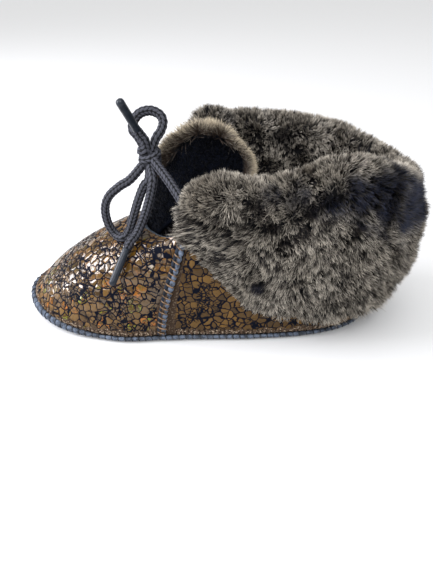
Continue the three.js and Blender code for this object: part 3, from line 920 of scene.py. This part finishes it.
def make_upper():
    u = np.arange(UPPER_ROUND) / UPPER_ROUND
    round_u, up_v = np.meshgrid(u, np.linspace(0, 1, UPPER_HIGH + 1), indexing="ij")
    plain = skin(round_u, up_v)
    high = np.cumsum(np.linalg.norm(np.diff(plain, axis=1, prepend=plain[:, :1]), axis=2), axis=1)
    run = np.broadcast_to(column(run_of(plain[:, 0])), high.shape)
    rise, folds = upper_relief(round_u, up_v, high, run, plain)
    outer = plain + normal(round_u, up_v) * column(rise)
    out = normal(u, np.ones_like(u))
    angle = math.pi * np.arange(1, RIM_STEPS + 1) / (RIM_STEPS + 1)
    bend = turned(out[:, None], edge_up(u)[:, None] * RIM_ROUND, angle)
    rim = (plain[:, -1] - out * WALL / 2)[:, None] + bend * WALL / 2
    inner_u, inner_v = np.meshgrid(u, np.linspace(1, 0, INNER_HIGH + 1), indexing="ij")
    inner = skin(inner_u, inner_v) - normal(inner_u, inner_v) * WALL
    rings = np.concatenate([outer, rim, inner], axis=1)
    count = rings.shape[1]
    faces = round_faces(UPPER_ROUND, count, closed=True)
    made = piece("foil_upper", rings, [faces], [FOIL, RIM_EDGE, FUR_HIDE], "foil_leather", ["upper"])
    kind = np.digitize(np.arange(count), [UPPER_HIGH - 1, UPPER_HIGH + RIM_STEPS + 1])
    made.data.polygons.foreach_set("material_index", np.tile(kind, UPPER_ROUND).astype(np.int32))
    for name, values in foil_marks(round_u, high, folds, plain).items():
        marks = np.zeros(rings.shape[:2])
        marks[:, :UPPER_HIGH + 1] = values
        note(made, name, marks)


# Seams: two cut leather edges drawn together by slanted whip stitches

STITCH_STEPS = 8
PINCH_WIDTH = 0.2
BEAD_UNEVEN = 0.08
BEAD_CREASE = 0.16
SECTION_SIDES = 14
THREAD_RADIUS = 0.4
THREAD_LEAN = 0.5
THREAD_SIDES = 6
THREAD_POINTS = 9


def even_stops(points_at, start, end, spacing):
    """Shares of a curve at even distances, a few to each stitch."""
    fine = np.linspace(start, end, 4000)
    run = run_of(points_at(fine))
    count = round(run[-1] / spacing)
    return np.interp(np.linspace(0, run[-1], count * STITCH_STEPS + 1), run, fine)


def seam_rings(centre, out, up, half_out, half_up, deep):
    """A leather bead pinched at each stitch, with a crease where two edges meet."""
    phase = np.arange(len(centre)) % STITCH_STEPS / STITCH_STEPS
    pinch = 1 - deep * bump(phase - 0.5, PINCH_WIDTH) + BEAD_UNEVEN * waves(centre, 11, 21)
    angle = TURN * np.arange(SECTION_SIDES) / SECTION_SIDES
    section = turned((out * column(half_out))[:, None], (up * column(half_up))[:, None], angle)
    crease = 1 - BEAD_CREASE * bump(np.sin(angle / 2), 0.25)
    return centre[:, None] + section * column(crease) * pinch[:, None, None]


def whip_stitches(centre, out, up, ahead, half, reach, seed):
    """Thread arcs over the bead, one to each space, between two angles from its outermost line.

    half holds the arc's two halves at each point: outwards and upwards.
    """
    draw = np.random.default_rng(seed)
    parts = []
    for i in range(STITCH_STEPS // 2, len(centre) - 1, STITCH_STEPS):
        angle = np.linspace(*reach, THREAD_POINTS) + 0.12 * draw.normal()
        wide, tall = half[i]
        over = turned(out[i] * wide, up[i] * tall, angle)
        slant = np.linspace(-1, 1, THREAD_POINTS) * THREAD_LEAN + 0.3 * draw.normal()
        thick = THREAD_RADIUS * draw.uniform(0.8, 1.2)
        parts.append(tube(centre[i] + over + ahead[i] * column(slant), thick, THREAD_SIDES))
    return joined(parts)


# The sole's bead beside the quarters and at the toe
SOLE_PITCH = 4.7
SOLE_BEAD = table(
    "out rise half_out half_up pinch thread_out thread_up",
    (1.4, -0.9, 1.5, 1.25, 0.3, 1.3, 1.15), (2.1, 0.1, 2.2, 3.3, 0.1, 2, 3.1),
)
TOE_BEAD_START = 60
TOE_BEAD_RUN = 55
SOLE_ARC = (-0.9, 2.2)


def make_sole_seam():
    stops = even_stops(PLAN_RAIL, 0, 1, SOLE_PITCH)[:-1]
    edge = PLAN_RAIL(stops)
    ahead = slope(PLAN_RAIL, stops, EDGE_STEP)
    up = np.broadcast_to(UP, edge.shape)
    out = np.cross(up, ahead)
    toe = smooth((edge[:, 0] - TOE_BEAD_START) / TOE_BEAD_RUN)
    bead = {name: mix(*ends, toe) for name, ends in SOLE_BEAD.items()}
    height = SOLE_THICKNESS + lift(edge[:, 0]) + bead["rise"]
    centre = edge + out * column(bead["out"]) + up * column(height)
    rings = seam_rings(centre, out, up, bead["half_out"], bead["half_up"], bead["pinch"])
    faces = round_faces(len(rings), SECTION_SIDES, closed=True)
    piece("sole_seam_edge", rings, [faces], [CUT_EDGE], "seam_edge", ["sole_seam"])
    half = np.stack([bead["thread_out"], bead["thread_up"]], axis=1)
    stitches = whip_stitches(centre, out, up, ahead, half, SOLE_ARC, 22)
    piece("sole_stitches", *stitches, [DARK_THREAD], "seam_edge")


# Each side seam: a pinched bead, a navy lip ahead of it and the threads over both
SIDE_PITCH = 4.3
SIDE_ENDS = (0.03, 0.985)
SIDE_OUT = 1.5
SIDE_BACK = 1.1
SIDE_BEAD = (1.3, 1.75, 0.5)
LIP_AHEAD = 2.9
LIP_SUNK = 0.4
LIP_BEAD = (1.2, 1.5, 0.2)
SIDE_THREAD = (1.55, 3.9)
SIDE_ARC = (-0.35, 1.75)


def make_side_seams():
    beads = []
    lips = []
    threads = []
    for u in (SIDE_SEAM_U, 1 - SIDE_SEAM_U):
        stops = even_stops(lambda v: skin(u, v), *SIDE_ENDS, SIDE_PITCH)
        level = np.full_like(stops, u)
        out = normal(level, stops)
        ahead = climb(level, stops)
        across = np.cross(ahead, out)
        toeward = across * np.sign(across[:, :1])
        centre = skin(level, stops) + out * SIDE_OUT - toeward * SIDE_BACK
        beside = centre + toeward * LIP_AHEAD - out * LIP_SUNK
        faces = capped(len(centre), SECTION_SIDES)
        beads.append((seam_rings(centre, out, across, *SIDE_BEAD), faces))
        lips.append((seam_rings(beside, out, across, *LIP_BEAD), faces))
        half = np.tile(SIDE_THREAD, (len(centre), 1))
        threads.append(whip_stitches(centre, out, toeward, ahead, half, SIDE_ARC, 23))
    piece("side_seam_edges", *joined(beads), [CUT_EDGE], "seam_edge")
    piece("side_seam_lips", *joined(lips), [NAVY_EDGE], "seam_edge")
    piece("side_stitches", *joined(threads), [THREAD], "seam_edge")


# Sole and insole: flat plates with soft edges

PLATE_STEPS = 140
PLATE_SIDES = 44
PLATE_END = 0.006
PLATE_WIDE = 0.3
PLATE_TALL = 0.4
INSOLE_HIDE = 0.6
INSOLE_MIDDLE = -20
INSOLE_SHORTER = 0.07
INSOLE_NARROWER = 0.11


def make_plate(name, bottom, top, middle, shorter, narrower, material, slot, node):
    u = np.linspace(PLATE_END, 0.5 - PLATE_END, PLATE_STEPS)
    left = PLAN_RAIL(u)
    right = PLAN_RAIL(1 - u)
    x = column(mix(left[:, 0], middle, shorter))
    centre = column((left[:, 1] + right[:, 1]) / 2 * (1 - narrower))
    half = column((left[:, 1] - right[:, 1]) / 2 * (1 - narrower))
    angle = TURN * (np.arange(PLATE_SIDES) + 0.5) / PLATE_SIDES
    wide = np.sign(np.cos(angle)) * np.abs(np.cos(angle)) ** PLATE_WIDE
    tall = np.sign(np.sin(angle)) * np.abs(np.sin(angle)) ** PLATE_TALL
    y = centre + half * wide
    z = mix(bottom, top, 0.5 + 0.5 * tall) + lift(x)
    rings = np.stack([np.broadcast_to(x, y.shape), y, z], axis=2)
    faces = [part[:, ::-1] for part in capped(PLATE_STEPS, PLATE_SIDES)]
    piece(name, rings, faces, [material], slot, [node])


def make_soles():
    make_plate("suede_sole", 0, SOLE_THICKNESS, 0, 0, 0, SOLE_HIDE, "sole_leather", "sole")
    bottom = SOLE_THICKNESS + GAP
    top = bottom + INSOLE_THICKNESS * INSOLE_HIDE
    inset = (INSOLE_MIDDLE, INSOLE_SHORTER, INSOLE_NARROWER)
    make_plate("insole_hide", bottom, top, *inset, FUR_HIDE, "fur", "insole")


# Fur: flat tapered hairs in clumps, grown from a surface

ROOT_TONE = linear("0b0d14")
MID_TONE = linear("3d3630")
TIP_TONE = linear("ded5c6")
NAVY_TONE = linear("2a3148")
HAIR_WIDTH = 0.5
HAIR_SHARE = 0.5
HAIR_BEND = 0.14
MIDDLE_WIDTH = 0.85
MAX_HAIRS = 60000
GROW_GRID = (181, 91)
WILD = 0.3
WILD_SIZE = 19
WILD_SEEDS = (31, 32, 33)
CLUMP_CLOSE = 0.35


def grow(surface, low, high, clumps, per_clump, spread, seed):
    """Places of hairs on a surface of two numbers, in clumps spread evenly over its area."""
    draw = np.random.default_rng(seed)
    a, b = (np.linspace(*ends) for ends in zip(low, high, GROW_GRID))
    root, out, depth = surface(*np.meshgrid(a, b, indexing="ij"))
    points = root + out * column(depth)
    side_a = np.linalg.norm(np.diff(points, axis=0), axis=2)[:, :-1]
    side_b = np.linalg.norm(np.diff(points, axis=1), axis=2)[:-1]
    area = np.cumsum((side_a * side_b).ravel())
    cell = np.unravel_index(np.searchsorted(area, draw.uniform(0, area[-1], clumps)), side_a.shape)
    step_a = a[1] - a[0]
    step_b = b[1] - b[0]
    clump_a = column(a[cell[0]] + step_a * draw.uniform(size=clumps))
    clump_b = column(b[cell[1]] + step_b * draw.uniform(size=clumps))
    offset = draw.normal(size=(2, clumps, per_clump)) * spread
    hair_a = clump_a + offset[0] * column(step_a / np.maximum(side_a[cell], 1e-3))
    hair_b = clump_b + offset[1] * column(step_b / np.maximum(side_b[cell], 1e-3))
    hair = (np.clip(hair_a, low[0], high[0]), np.clip(hair_b, low[1], high[1]))
    return (clump_a, clump_b), hair, draw


def comb_out(surface, comb, clump, hair, draw, gather):
    """Roots, middles and tips of hairs that lean as combed and draw together towards their clump's tip."""
    root, out, depth = surface(*hair)
    clump_root, clump_out, clump_depth = surface(*clump)
    wild = WILD * np.stack([waves(clump_root, WILD_SIZE, seed) for seed in WILD_SEEDS], axis=-1)
    clump_way = unit(clump_out + comb(*clump) + wild + WILD * draw.normal(size=clump_root.shape))
    way = unit(out + comb(*hair) + wild + WILD * draw.normal(size=root.shape))
    size = draw.uniform(0.8, 1.1, depth.shape) * draw.uniform(0.8, 1.2, clump_depth.shape)
    start = root + out * column(depth * (1 - HAIR_SHARE))
    reach = depth * HAIR_SHARE * size
    clump_tip = clump_root + clump_out * column(clump_depth * (1 - HAIR_SHARE))
    clump_tip = clump_tip + clump_way * column(clump_depth * HAIR_SHARE)
    tip = start + way * column(reach)
    tip = mix(tip, clump_tip + CLUMP_CLOSE * (tip - clump_tip), gather)
    middle = mix(start, tip, 0.5) + out * column(HAIR_BEND * reach)
    return [np.reshape(points, (-1, 3)) for points in (start, middle, tip, out)]


def hair_pieces(name, start, middle, tip, out, width, tones):
    """Hairs as ribbons that face outwards, in pieces of a bounded size."""
    side = unit(np.cross(tip - start, out + 0.4 * unit(tip - middle))) * width / 2
    waist = MIDDLE_WIDTH * side
    points = np.stack([start - side, start + side, middle + waist, middle - waist, tip], axis=1)
    low, mid, high = tones
    colours = np.stack([low, low, mid, mid, high], axis=1)
    lots = math.ceil(len(start) / MAX_HAIRS)
    for lot, some in enumerate(np.array_split(np.arange(len(start)), lots)):
        first = 5 * column(np.arange(len(some))).astype(int)
        faces = [first + np.array([0, 1, 2, 3]), first + np.array([3, 2, 4])]
        made = piece(f"{name}_{lot + 1}", points[some], faces, [FUR], "fur")
        paint(made, colours[some].reshape(-1, 3))


def fur_tones(draw, place_of_tip, shape, dark=0.0, pale=0.0):
    """Root, middle and tip colours: dark turns a hair to the navy under-fur, where it is brushed and as
    painted shade inside the shoe, and pale to frost, which also stands for painted light on the cuff.
    """
    clump = (draw.normal(size=(shape[0], 1)) * np.ones(shape)).ravel()
    own = draw.normal(size=shape).ravel()
    light = 0.5 + pale + 0.45 * clump + 0.3 * own + 0.2 * waves(place_of_tip, 7, 41)
    light = column(np.clip(light, 0, 1))
    dark = column(np.clip(dark, 0, 1))
    tip = mix(mix(MID_TONE, TIP_TONE, light), NAVY_TONE, dark)
    mid = mix(mix(ROOT_TONE, mix(MID_TONE, TIP_TONE, 0.22), light), ROOT_TONE, 0.7 * dark)
    return np.broadcast_to(ROOT_TONE, tip.shape), mid, tip


# Cuff: the collar folded outwards, fur side out

CUFF = table(
    "round low pile",
    (0, 0.2, 21), (0.05, 0.185, 19.5), (0.1, 0.15, 17.5), (0.15, 0.245, 15), (0.175, 0.35, 14.5),
    (0.2, 0.51, 14), (0.225, 0.635, 13), (0.25, 0.74, 12), (0.262, 0.79, 8),
)
CUFF_FRONT = 0.262
LINING_DEPTH = 0.3
LINING_THIN = 0.4
CUFF_EDGE_PILE = 0.3
CUFF_EDGE_ROUND = 0.5
CREST_FROM = 0.75
CUFF_END_TAPER = 0.03
CUFF_END_PILE = 0.55
TUFT_PILE = 9.5
TUFT_AT = 0.209
TUFT_HALF = 0.023
OUTSIDE, FOLD, INSIDE = 1, 2, 3


def cuff_surface(u, s):
    """Root, direction and depth of the pile: s runs up the outside, over the fold and down the inside."""
    low = np.interp(np.abs(u), CUFF["round"], CUFF["low"])
    pile = np.interp(np.abs(u), CUFF["round"], CUFF["pile"])
    end = smooth((CUFF_FRONT - np.abs(u)) / CUFF_END_TAPER)
    crest = CREST_PILE * mix(CUFF_END_PILE, 1, end) + TUFT_PILE * bump(u - TUFT_AT, TUFT_HALF)
    w = np.clip(s, 0, OUTSIDE)
    inside = np.clip(s - FOLD, 0, 1)
    v = np.where(s < FOLD, mix(low, 1, w), 1 - LINING_DEPTH * inside)
    edge = mix(CUFF_EDGE_PILE, 1, np.sqrt(1 - (1 - np.clip(w / CUFF_EDGE_ROUND, 0, 1)) ** 2))
    depth = mix(pile * edge, crest, smooth((w - CREST_FROM) / (1 - CREST_FROM)))
    fold = np.clip(s - OUTSIDE, 0, 1)
    depth = np.where(s > OUTSIDE, mix(crest, LINING_PILE, fold), depth)
    depth = depth * mix(1, LINING_THIN, smooth(inside * 1.5 - 0.5))
    away = normal(u, v)
    out = turned(away, edge_up(u), math.pi * fold)
    root = skin(u, v) - away * WALL / 2 + out * WALL / 2
    return root, out, depth + GAP


def onward(u, v):
    """The way round the foot towards the toe."""
    return slope(lambda turn: skin(turn, v), u, ONWARD_STEP) * column(np.sign(u))


COMB_DOWN = 0.3
COMB_DOWN_INSIDE = 0.2
COMB_FRONT = 2.1
COMB_FRONT_RUN = 0.14


def cuff_comb(u, s):
    """The pile hangs on the outside, and points forwards at the two front ends."""
    outside = smooth((OUTSIDE - s) / 0.5)
    inside = smooth((s - FOLD) / 0.3)
    v = np.clip(s, 0, 1)
    down = -climb(u, v) * column(COMB_DOWN * outside + COMB_DOWN_INSIDE * inside)
    near_front = smooth((np.abs(u) - CUFF_FRONT + COMB_FRONT_RUN) / COMB_FRONT_RUN)
    return down + onward(u, v) * column(COMB_FRONT * near_front * (outside + 0.15))


HIDE_STEPS = 150
HIDE_LEVELS = 60
HIDE_SHARE = 1.06 - HAIR_SHARE
HIDE_LIFT = 0.2
CUFF_CLUMPS = 16200
CUFF_PER_CLUMP = 9
CUFF_SPREAD = 0.8
CUFF_GATHER = 0.62

# Longer locks at the front ends and the lower edge
WHISKERS = 2.2
WHISKERS_RUN = 0.035
EDGE_LOCKS = 0.6
EDGE_HIGH = 0.2

# Loose hairs that close the two front ends
END_HAIRS = 6000
END_ROUND = 2.4
END_PILE = 7

# Places where the pile is brushed dark: middle and reach in millimetres, and how strongly
DARK_PATCHES = table(
    "x y z reach strength",
    (-76, 53, 108, 8, 0.8), (-84, 53, 109, 10, 0.9), (-92, 51, 112, 12, 1), (-98, 50, 109, 14, 1),
    (-106, 47, 111, 16, 1), (-115, 44, 105, 18, 1), (-117, 41, 111, 18, 1), (-121, 33, 114, 15, 1),
    (-131, 36, 97, 18, 1), (-133, 32, 104, 17, 1), (-139, 25, 98, 17, 1), (-128, 39, 90, 10, 0.9),
    (-60, 53, 111, 8, 0.75), (-45, 50, 112, 7, 0.6), (-41, 58, 52, 5, 0.6), (-141, 8, 100, 13, 0.8),
    (-20, -34, 128, 8, 0.7), (-60, -32, 118, 10, 0.6),
)

# Places where the frosted tips are worn off, in the same columns
MOTTLES = table(
    "x y z reach strength",
    (-45, 56, 94, 5, 1), (-28, 56, 86, 4.5, 1), (-21, 56, 95, 4, 0.8), (-63, 56, 87, 4, 1),
    (-55, 56, 85, 3.5, 0.8), (-67, 56, 92, 4.5, 1), (-79, 56, 95, 5, 1), (-97, 54, 92, 4, 0.9),
    (-87, 56, 88, 3.5, 0.8), (-68, 55, 103, 6, 1), (-77, 55, 106, 6, 1), (-41, 56, 106, 5, 0.9),
    (-62, 56, 99, 4, 0.7), (-32, 57, 93, 4, 0.8), (-15, 56, 98, 4, 0.7), (-41, 58, 54, 5, 1),
    (-51, 58, 68, 3, 0.7), (-34, 55, 108, 4, 0.7),
)


def brushed(points, patches):
    dark = np.zeros(len(points))
    ragged = 0.15 * waves(points, 12, 51)
    for x, y, z, reach, strength in zip(*patches.values()):
        apart = np.linalg.norm(points - np.array([x, y, z]), axis=1)
        dark = np.maximum(dark, strength * smooth(1.4 - apart / reach + ragged))
    return dark


def make_cuff():
    round_u = np.linspace(-CUFF_FRONT, CUFF_FRONT, HIDE_STEPS)
    u, s = np.meshgrid(round_u, np.linspace(0, INSIDE, HIDE_LEVELS), indexing="ij")
    root, out, depth = cuff_surface(u, s)
    hide = slab(root + out * column(depth * HIDE_SHARE), root + out * HIDE_LIFT)
    piece("cuff_hide", *hide, [FUR_HIDE], "fur", ["cuff"])
    make_cuff_ends(make_cuff_fur())


def make_cuff_fur():
    ends = ((-CUFF_FRONT, 0.0), (CUFF_FRONT, float(INSIDE)))
    clump, hair, draw = grow(cuff_surface, *ends, CUFF_CLUMPS, CUFF_PER_CLUMP, CUFF_SPREAD, 61)
    start, middle, tip, out = comb_out(cuff_surface, cuff_comb, clump, hair, draw, CUFF_GATHER)
    u, s = hair
    at_end = smooth((np.abs(u) - CUFF_FRONT + WHISKERS_RUN) / WHISKERS_RUN)
    at_end = at_end * (s < np.where(u < 0, FOLD, OUTSIDE))
    at_edge = EDGE_LOCKS * smooth((EDGE_HIGH - s) / EDGE_HIGH)
    lock = draw.uniform(size=clump[0].shape) ** 2 * draw.uniform(0.6, 1, u.shape)
    longer = 1 + WHISKERS * np.maximum(at_end, at_edge) * lock
    tip = start + (tip - start) * longer.reshape(-1, 1)
    front = smooth((np.abs(u) - 0.17) / 0.05) * (s < OUTSIDE)
    uneven = draw.normal(size=clump[0].shape) + 0.5 * draw.normal(size=u.shape)
    # Painted light: the fur over the fold and down the inside is painted paler, where it is lit. The front
    # ends are darker and more uneven, and the mottles darken tips where the frost is worn off.
    pale = 0.3 * bump(s - 1.2, 0.35) + 0.55 * smooth(s - 1.2) + front * (0.6 * uneven - 0.4)
    pale = pale.ravel() - 1.2 * brushed(tip, MOTTLES)
    tones = fur_tones(draw, tip, u.shape, brushed(tip, DARK_PATCHES), pale)
    hair_pieces("cuff_fur", start, middle, tip, out, HAIR_WIDTH, tones)
    return draw


def make_cuff_ends(draw):
    u = CUFF_FRONT * draw.choice([-1.0, 1.0], END_HAIRS)
    s = draw.uniform(0, END_ROUND, END_HAIRS)
    root, out, depth = cuff_surface(u, s)
    start = root + out * column(depth * draw.uniform(0.1, 0.9, END_HAIRS))
    way = unit(onward(u, np.clip(s, 0, 1)) + 0.5 * out + 0.35 * draw.normal(size=out.shape))
    tip = start + way * column(END_PILE * draw.uniform(0.6, 1.1, END_HAIRS))
    tones = fur_tones(draw, tip, (END_HAIRS, 1), pale=-0.1)
    hair_pieces("cuff_end_fur", start, mix(start, tip, 0.5), tip, out, HAIR_WIDTH, tones)


# Lining: a coarser pile on the inside of the quarters and on the insole

LINING_FUR = 7.0
LINING_WIDTH = 1.0
LINING_PER_CLUMP = 18
LINING_GATHER = 0.5
LINING_ENDS = ((-0.33, 0.04), (0.33, 0.72))
INSOLE_ENDS = ((-110.0, 0.0), (75.0, 1.0))
INSOLE_WIDTH = 0.86
INSOLE_ROOT = 0.3
SHADE_START = -45
SHADE_RUN = 40


def lining_surface(u, v):
    away = normal(u, v)
    return skin(u, v) - away * WALL, -away, np.full(u.shape, LINING_FUR)


def insole_surface(x, share):
    u = np.clip((x + SOLE_LENGTH / 2) / SOLE_LENGTH, 0.02, 0.98)
    left = np.interp(u, PLAN["along"], PLAN["lateral"]) * BALL_WIDTH * INSOLE_WIDTH
    right = np.interp(u, PLAN["along"], PLAN["medial"]) * BALL_WIDTH * INSOLE_WIDTH
    z = SOLE_THICKNESS + GAP + INSOLE_THICKNESS * INSOLE_ROOT + lift(x)
    root = np.stack([x, mix(-right, left, share), z], axis=-1)
    return root, np.broadcast_to(UP, root.shape), np.full(x.shape, LINING_FUR)


def no_comb(a, b):
    return np.zeros((*np.shape(a), 3))


def make_lining():
    """The pile is darker towards the toe on the quarters, as painted shade deeper inside the shoe, and of one
    shade on the insole.
    """
    for name, surface, ends, clumps, spread, seed, shades in (
        ("lining_fur", lining_surface, LINING_ENDS, 1500, 2.4, 71, (0.4, 1)),
        ("insole_fur", insole_surface, INSOLE_ENDS, 700, 2.2, 72, (0.25, 0.25)),
    ):
        clump, hair, draw = grow(surface, *ends, clumps, LINING_PER_CLUMP, spread, seed)
        start, middle, tip, out = comb_out(surface, no_comb, clump, hair, draw, LINING_GATHER)
        # Painted shade: the lining's tips turn navy towards the toe, deeper inside the shoe.
        dark = mix(*shades, smooth((tip[:, 0] - SHADE_START) / SHADE_RUN))
        tones = fur_tones(draw, tip, hair[0].shape, dark)
        hair_pieces(name, start, middle, tip, out, LINING_WIDTH, tones)


# Tongue: a navy flap, twisted to look to the lateral side, with plush fur standing past its rim

TONGUE_MEDIAL = [
    (30.4, -11.6, 84), (29, -12, 95), (21, -10.5, 108), (14.5, -11, 118), (5, -12.5, 124.5), (-3, -13, 127.5),
]
TONGUE_LATERAL = [
    (15, 14, 77), (-12, 9, 87), (-32, 1, 100), (-34, -5, 112), (-25, -9, 120.5), (-17, -12.5, 126),
]
TONGUE_SWELL = (3, 5, 6, 5, 3, 1)
TONGUE_ROOT = table("v under", (0.86, 0), (0.94, 1), (1, 3))
TONGUE_SPREAD = 0.1
TONGUE_ACROSS = 40
TONGUE_FINE = 10
TONGUE_HIDE = 2.4


def tongue_face(deep, share):
    """Rows of the tongue from its root to its tip at a depth below its face; share is 1 at the medial rim."""
    rows = []
    for v, under in zip(*TONGUE_ROOT.values()):
        u = 0.5 + share * TONGUE_SPREAD
        level = np.full_like(u, v)
        rows.append(skin(u, level) - normal(u, level) * (WALL + GAP + under + deep))
    medial = np.array(TONGUE_MEDIAL, float)
    lateral = np.array(TONGUE_LATERAL, float)
    ahead = np.gradient((medial + lateral) / 2, axis=0)
    out = unit(np.cross(ahead, medial - lateral))
    for left, right, way, swell in zip(lateral, medial, out, TONGUE_SWELL):
        rows.append(mix(left, right, column((1 + share) / 2)) + way * column(swell * (1 - share ** 2) - deep))
    return finer(np.array(rows), TONGUE_FINE)


def make_tongue():
    share = np.linspace(1, -1, TONGUE_ACROSS + 1)
    top = tongue_face(0.0, share)
    under = tongue_face(TONGUE_HIDE, share)
    piece("suede_tongue", *slab(top, under), [SUEDE], "suede", ["tongue"])
    draw = np.random.default_rng(81)
    first = int(TONGUE_BARE * len(top))
    make_rim_fur(draw, top, under, first)
    make_under_fur(draw, top, under, first // 2)
    make_nap(draw, top, under, first // 2)


TONGUE_BARE = 0.5
RIM_HAIRS = 15000
RIM_PILE = 8
RIM_NEAR = 3
RIM_FAN = 25
RIM_TAPER = 22
RIM_ENDS = 0.35
RIM_INSET = 2.2
RIM_INSET_MOST = 4.5
RIM_FACE = 1.2
RIM_DEEP = 1.6
RIM_OUTWARD = 0.5
RIM_MEDIAL = 1.25
RIM_LATERAL = 0.85
RIM_BROWN = linear("2c2016")
RIM_TIP = linear("e6d6ba")


def tongue_rim(line, first, inset=0):
    """A line round a grid of the tongue: up the medial side, over the tip and down the lateral side."""
    return np.concatenate([line[first:, inset], line[-1 - inset, 1:-1], line[first:, -1 - inset][::-1]])


def make_rim_fur(draw, top, under, first):
    rim = tongue_rim(top, first)
    run = run_of(rim)
    stop = draw.uniform(0, run[-1], RIM_HAIRS)
    edge = at_stops(rim, run, stop)
    inward = at_stops(tongue_rim(under, first), run, stop) - edge
    fan = np.pad(rim - tongue_rim(top, first, RIM_NEAR), ((RIM_FAN // 2, RIM_FAN // 2), (0, 0)), "edge")
    fan = np.stack([np.convolve(part, np.hanning(RIM_FAN), "valid") for part in fan.T], axis=1)
    out = unit(at_stops(fan, run, stop))
    face = -unit(inward)
    wide = mix(RIM_MEDIAL, RIM_LATERAL, smooth((stop / run[-1] - 0.45) / 0.2))
    inset = np.minimum(np.abs(draw.normal(size=RIM_HAIRS)) * RIM_INSET, RIM_INSET_MOST) * wide
    deep = draw.uniform(0, RIM_DEEP, RIM_HAIRS) * (inset < RIM_FACE)
    start = edge - out * column(inset) + inward * column(deep)
    rise = draw.uniform(-0.4, 0.5, RIM_HAIRS) + 0.35 * (inset > RIM_FACE)
    way = unit(1.2 * out + face * column(rise) + 0.4 * draw.normal(size=start.shape))
    taper = mix(RIM_ENDS, 1, smooth(np.minimum(stop, run[-1] - stop) / RIM_TAPER))
    reach = RIM_PILE * wide * taper * draw.uniform(0.55, 1.1, RIM_HAIRS)
    tip = start + way * column(reach)
    middle = mix(start, tip, 0.5) + face * column(0.1 * reach)
    outward = smooth(np.sum(way * out, axis=1) / RIM_OUTWARD - 0.5)
    tones = rim_tones(draw, tip, smooth(1.3 - inset / wide / 3) * outward, mix(0.5, 1, taper))
    hair_pieces("tongue_rim_fur", start, middle, tip, face, HAIR_WIDTH, tones)


def rim_tones(draw, tip, free, strength):
    """Hairs that stand free, at the edge and outwards, are pale, and those that lie on the face are brown."""
    low, _, high = fur_tones(draw, tip, (RIM_HAIRS, 1))
    uneven = np.clip(draw.uniform(0.55, 1.1, RIM_HAIRS) + 0.15 * waves(tip, 4, 82), 0.2, 1)
    pale = column(free * uneven * strength)
    low = mix(low, RIM_BROWN, 0.5 * pale)
    mid = mix(RIM_BROWN, mix(MID_TONE, RIM_TIP, 0.5), pale)
    high = mix(mix(RIM_BROWN, high, 0.3), RIM_TIP, 0.95 * pale)
    return low, mid, high


UNDER_HAIRS = 7000
UNDER_PILE = 6
UNDER_WIDTH = 0.9
UNDER_DARK_BELOW = 100


def make_under_fur(draw, top, under, first):
    row = draw.integers(first, len(under) - 1, UNDER_HAIRS)
    spot = draw.integers(0, under.shape[1], UNDER_HAIRS)
    away = unit(under[row, spot] - top[row, spot])
    start = under[row, spot] + away * column(np.abs(draw.normal(size=UNDER_HAIRS)) * 0.6)
    way = unit(away + 0.35 * draw.normal(size=away.shape))
    tip = start + way * column(UNDER_PILE * draw.uniform(0.7, 1.05, UNDER_HAIRS))
    # Painted shade: the under-fur turns navy below the throat, low inside the shoe.
    dark = 0.2 + 0.7 * smooth((UNDER_DARK_BELOW - tip[:, 2]) / 15)
    tones = fur_tones(draw, tip, (UNDER_HAIRS, 1), dark)
    hair_pieces("tongue_under_fur", start, mix(start, tip, 0.55), tip, away, UNDER_WIDTH, tones)


NAP_HAIRS = 6000
NAP_PILE = 3
NAP_SUNK = 0.4


def make_nap(draw, top, under, first):
    """Short dark hairs on the face of the tongue."""
    row = draw.integers(first, len(top) - 1, NAP_HAIRS)
    spot = draw.integers(2, top.shape[1] - 2, NAP_HAIRS)
    away = unit(top[row, spot] - under[row, spot])
    start = top[row, spot] + draw.normal(size=(NAP_HAIRS, 3)) * 0.6 - away * NAP_SUNK
    way = unit(away + 0.9 * UP + 0.4 * draw.normal(size=away.shape))
    tip = start + way * column(NAP_PILE * draw.uniform(0.7, 1.1, NAP_HAIRS))
    low, mid = (np.broadcast_to(ROOT_TONE * share, start.shape) for share in (0.3, 0.5))
    high = mix(ROOT_TONE * 0.6, NAVY_TONE, 0.35 * column(draw.uniform(0, 1, NAP_HAIRS)))
    hair_pieces("tongue_nap", start, mix(start, tip, 0.5), tip, away, HAIR_WIDTH, (low, mid, high))


make_upper()
make_sole_seam()
make_side_seams()
make_soles()
make_cuff()
make_lining()
make_tongue()
make_lace()
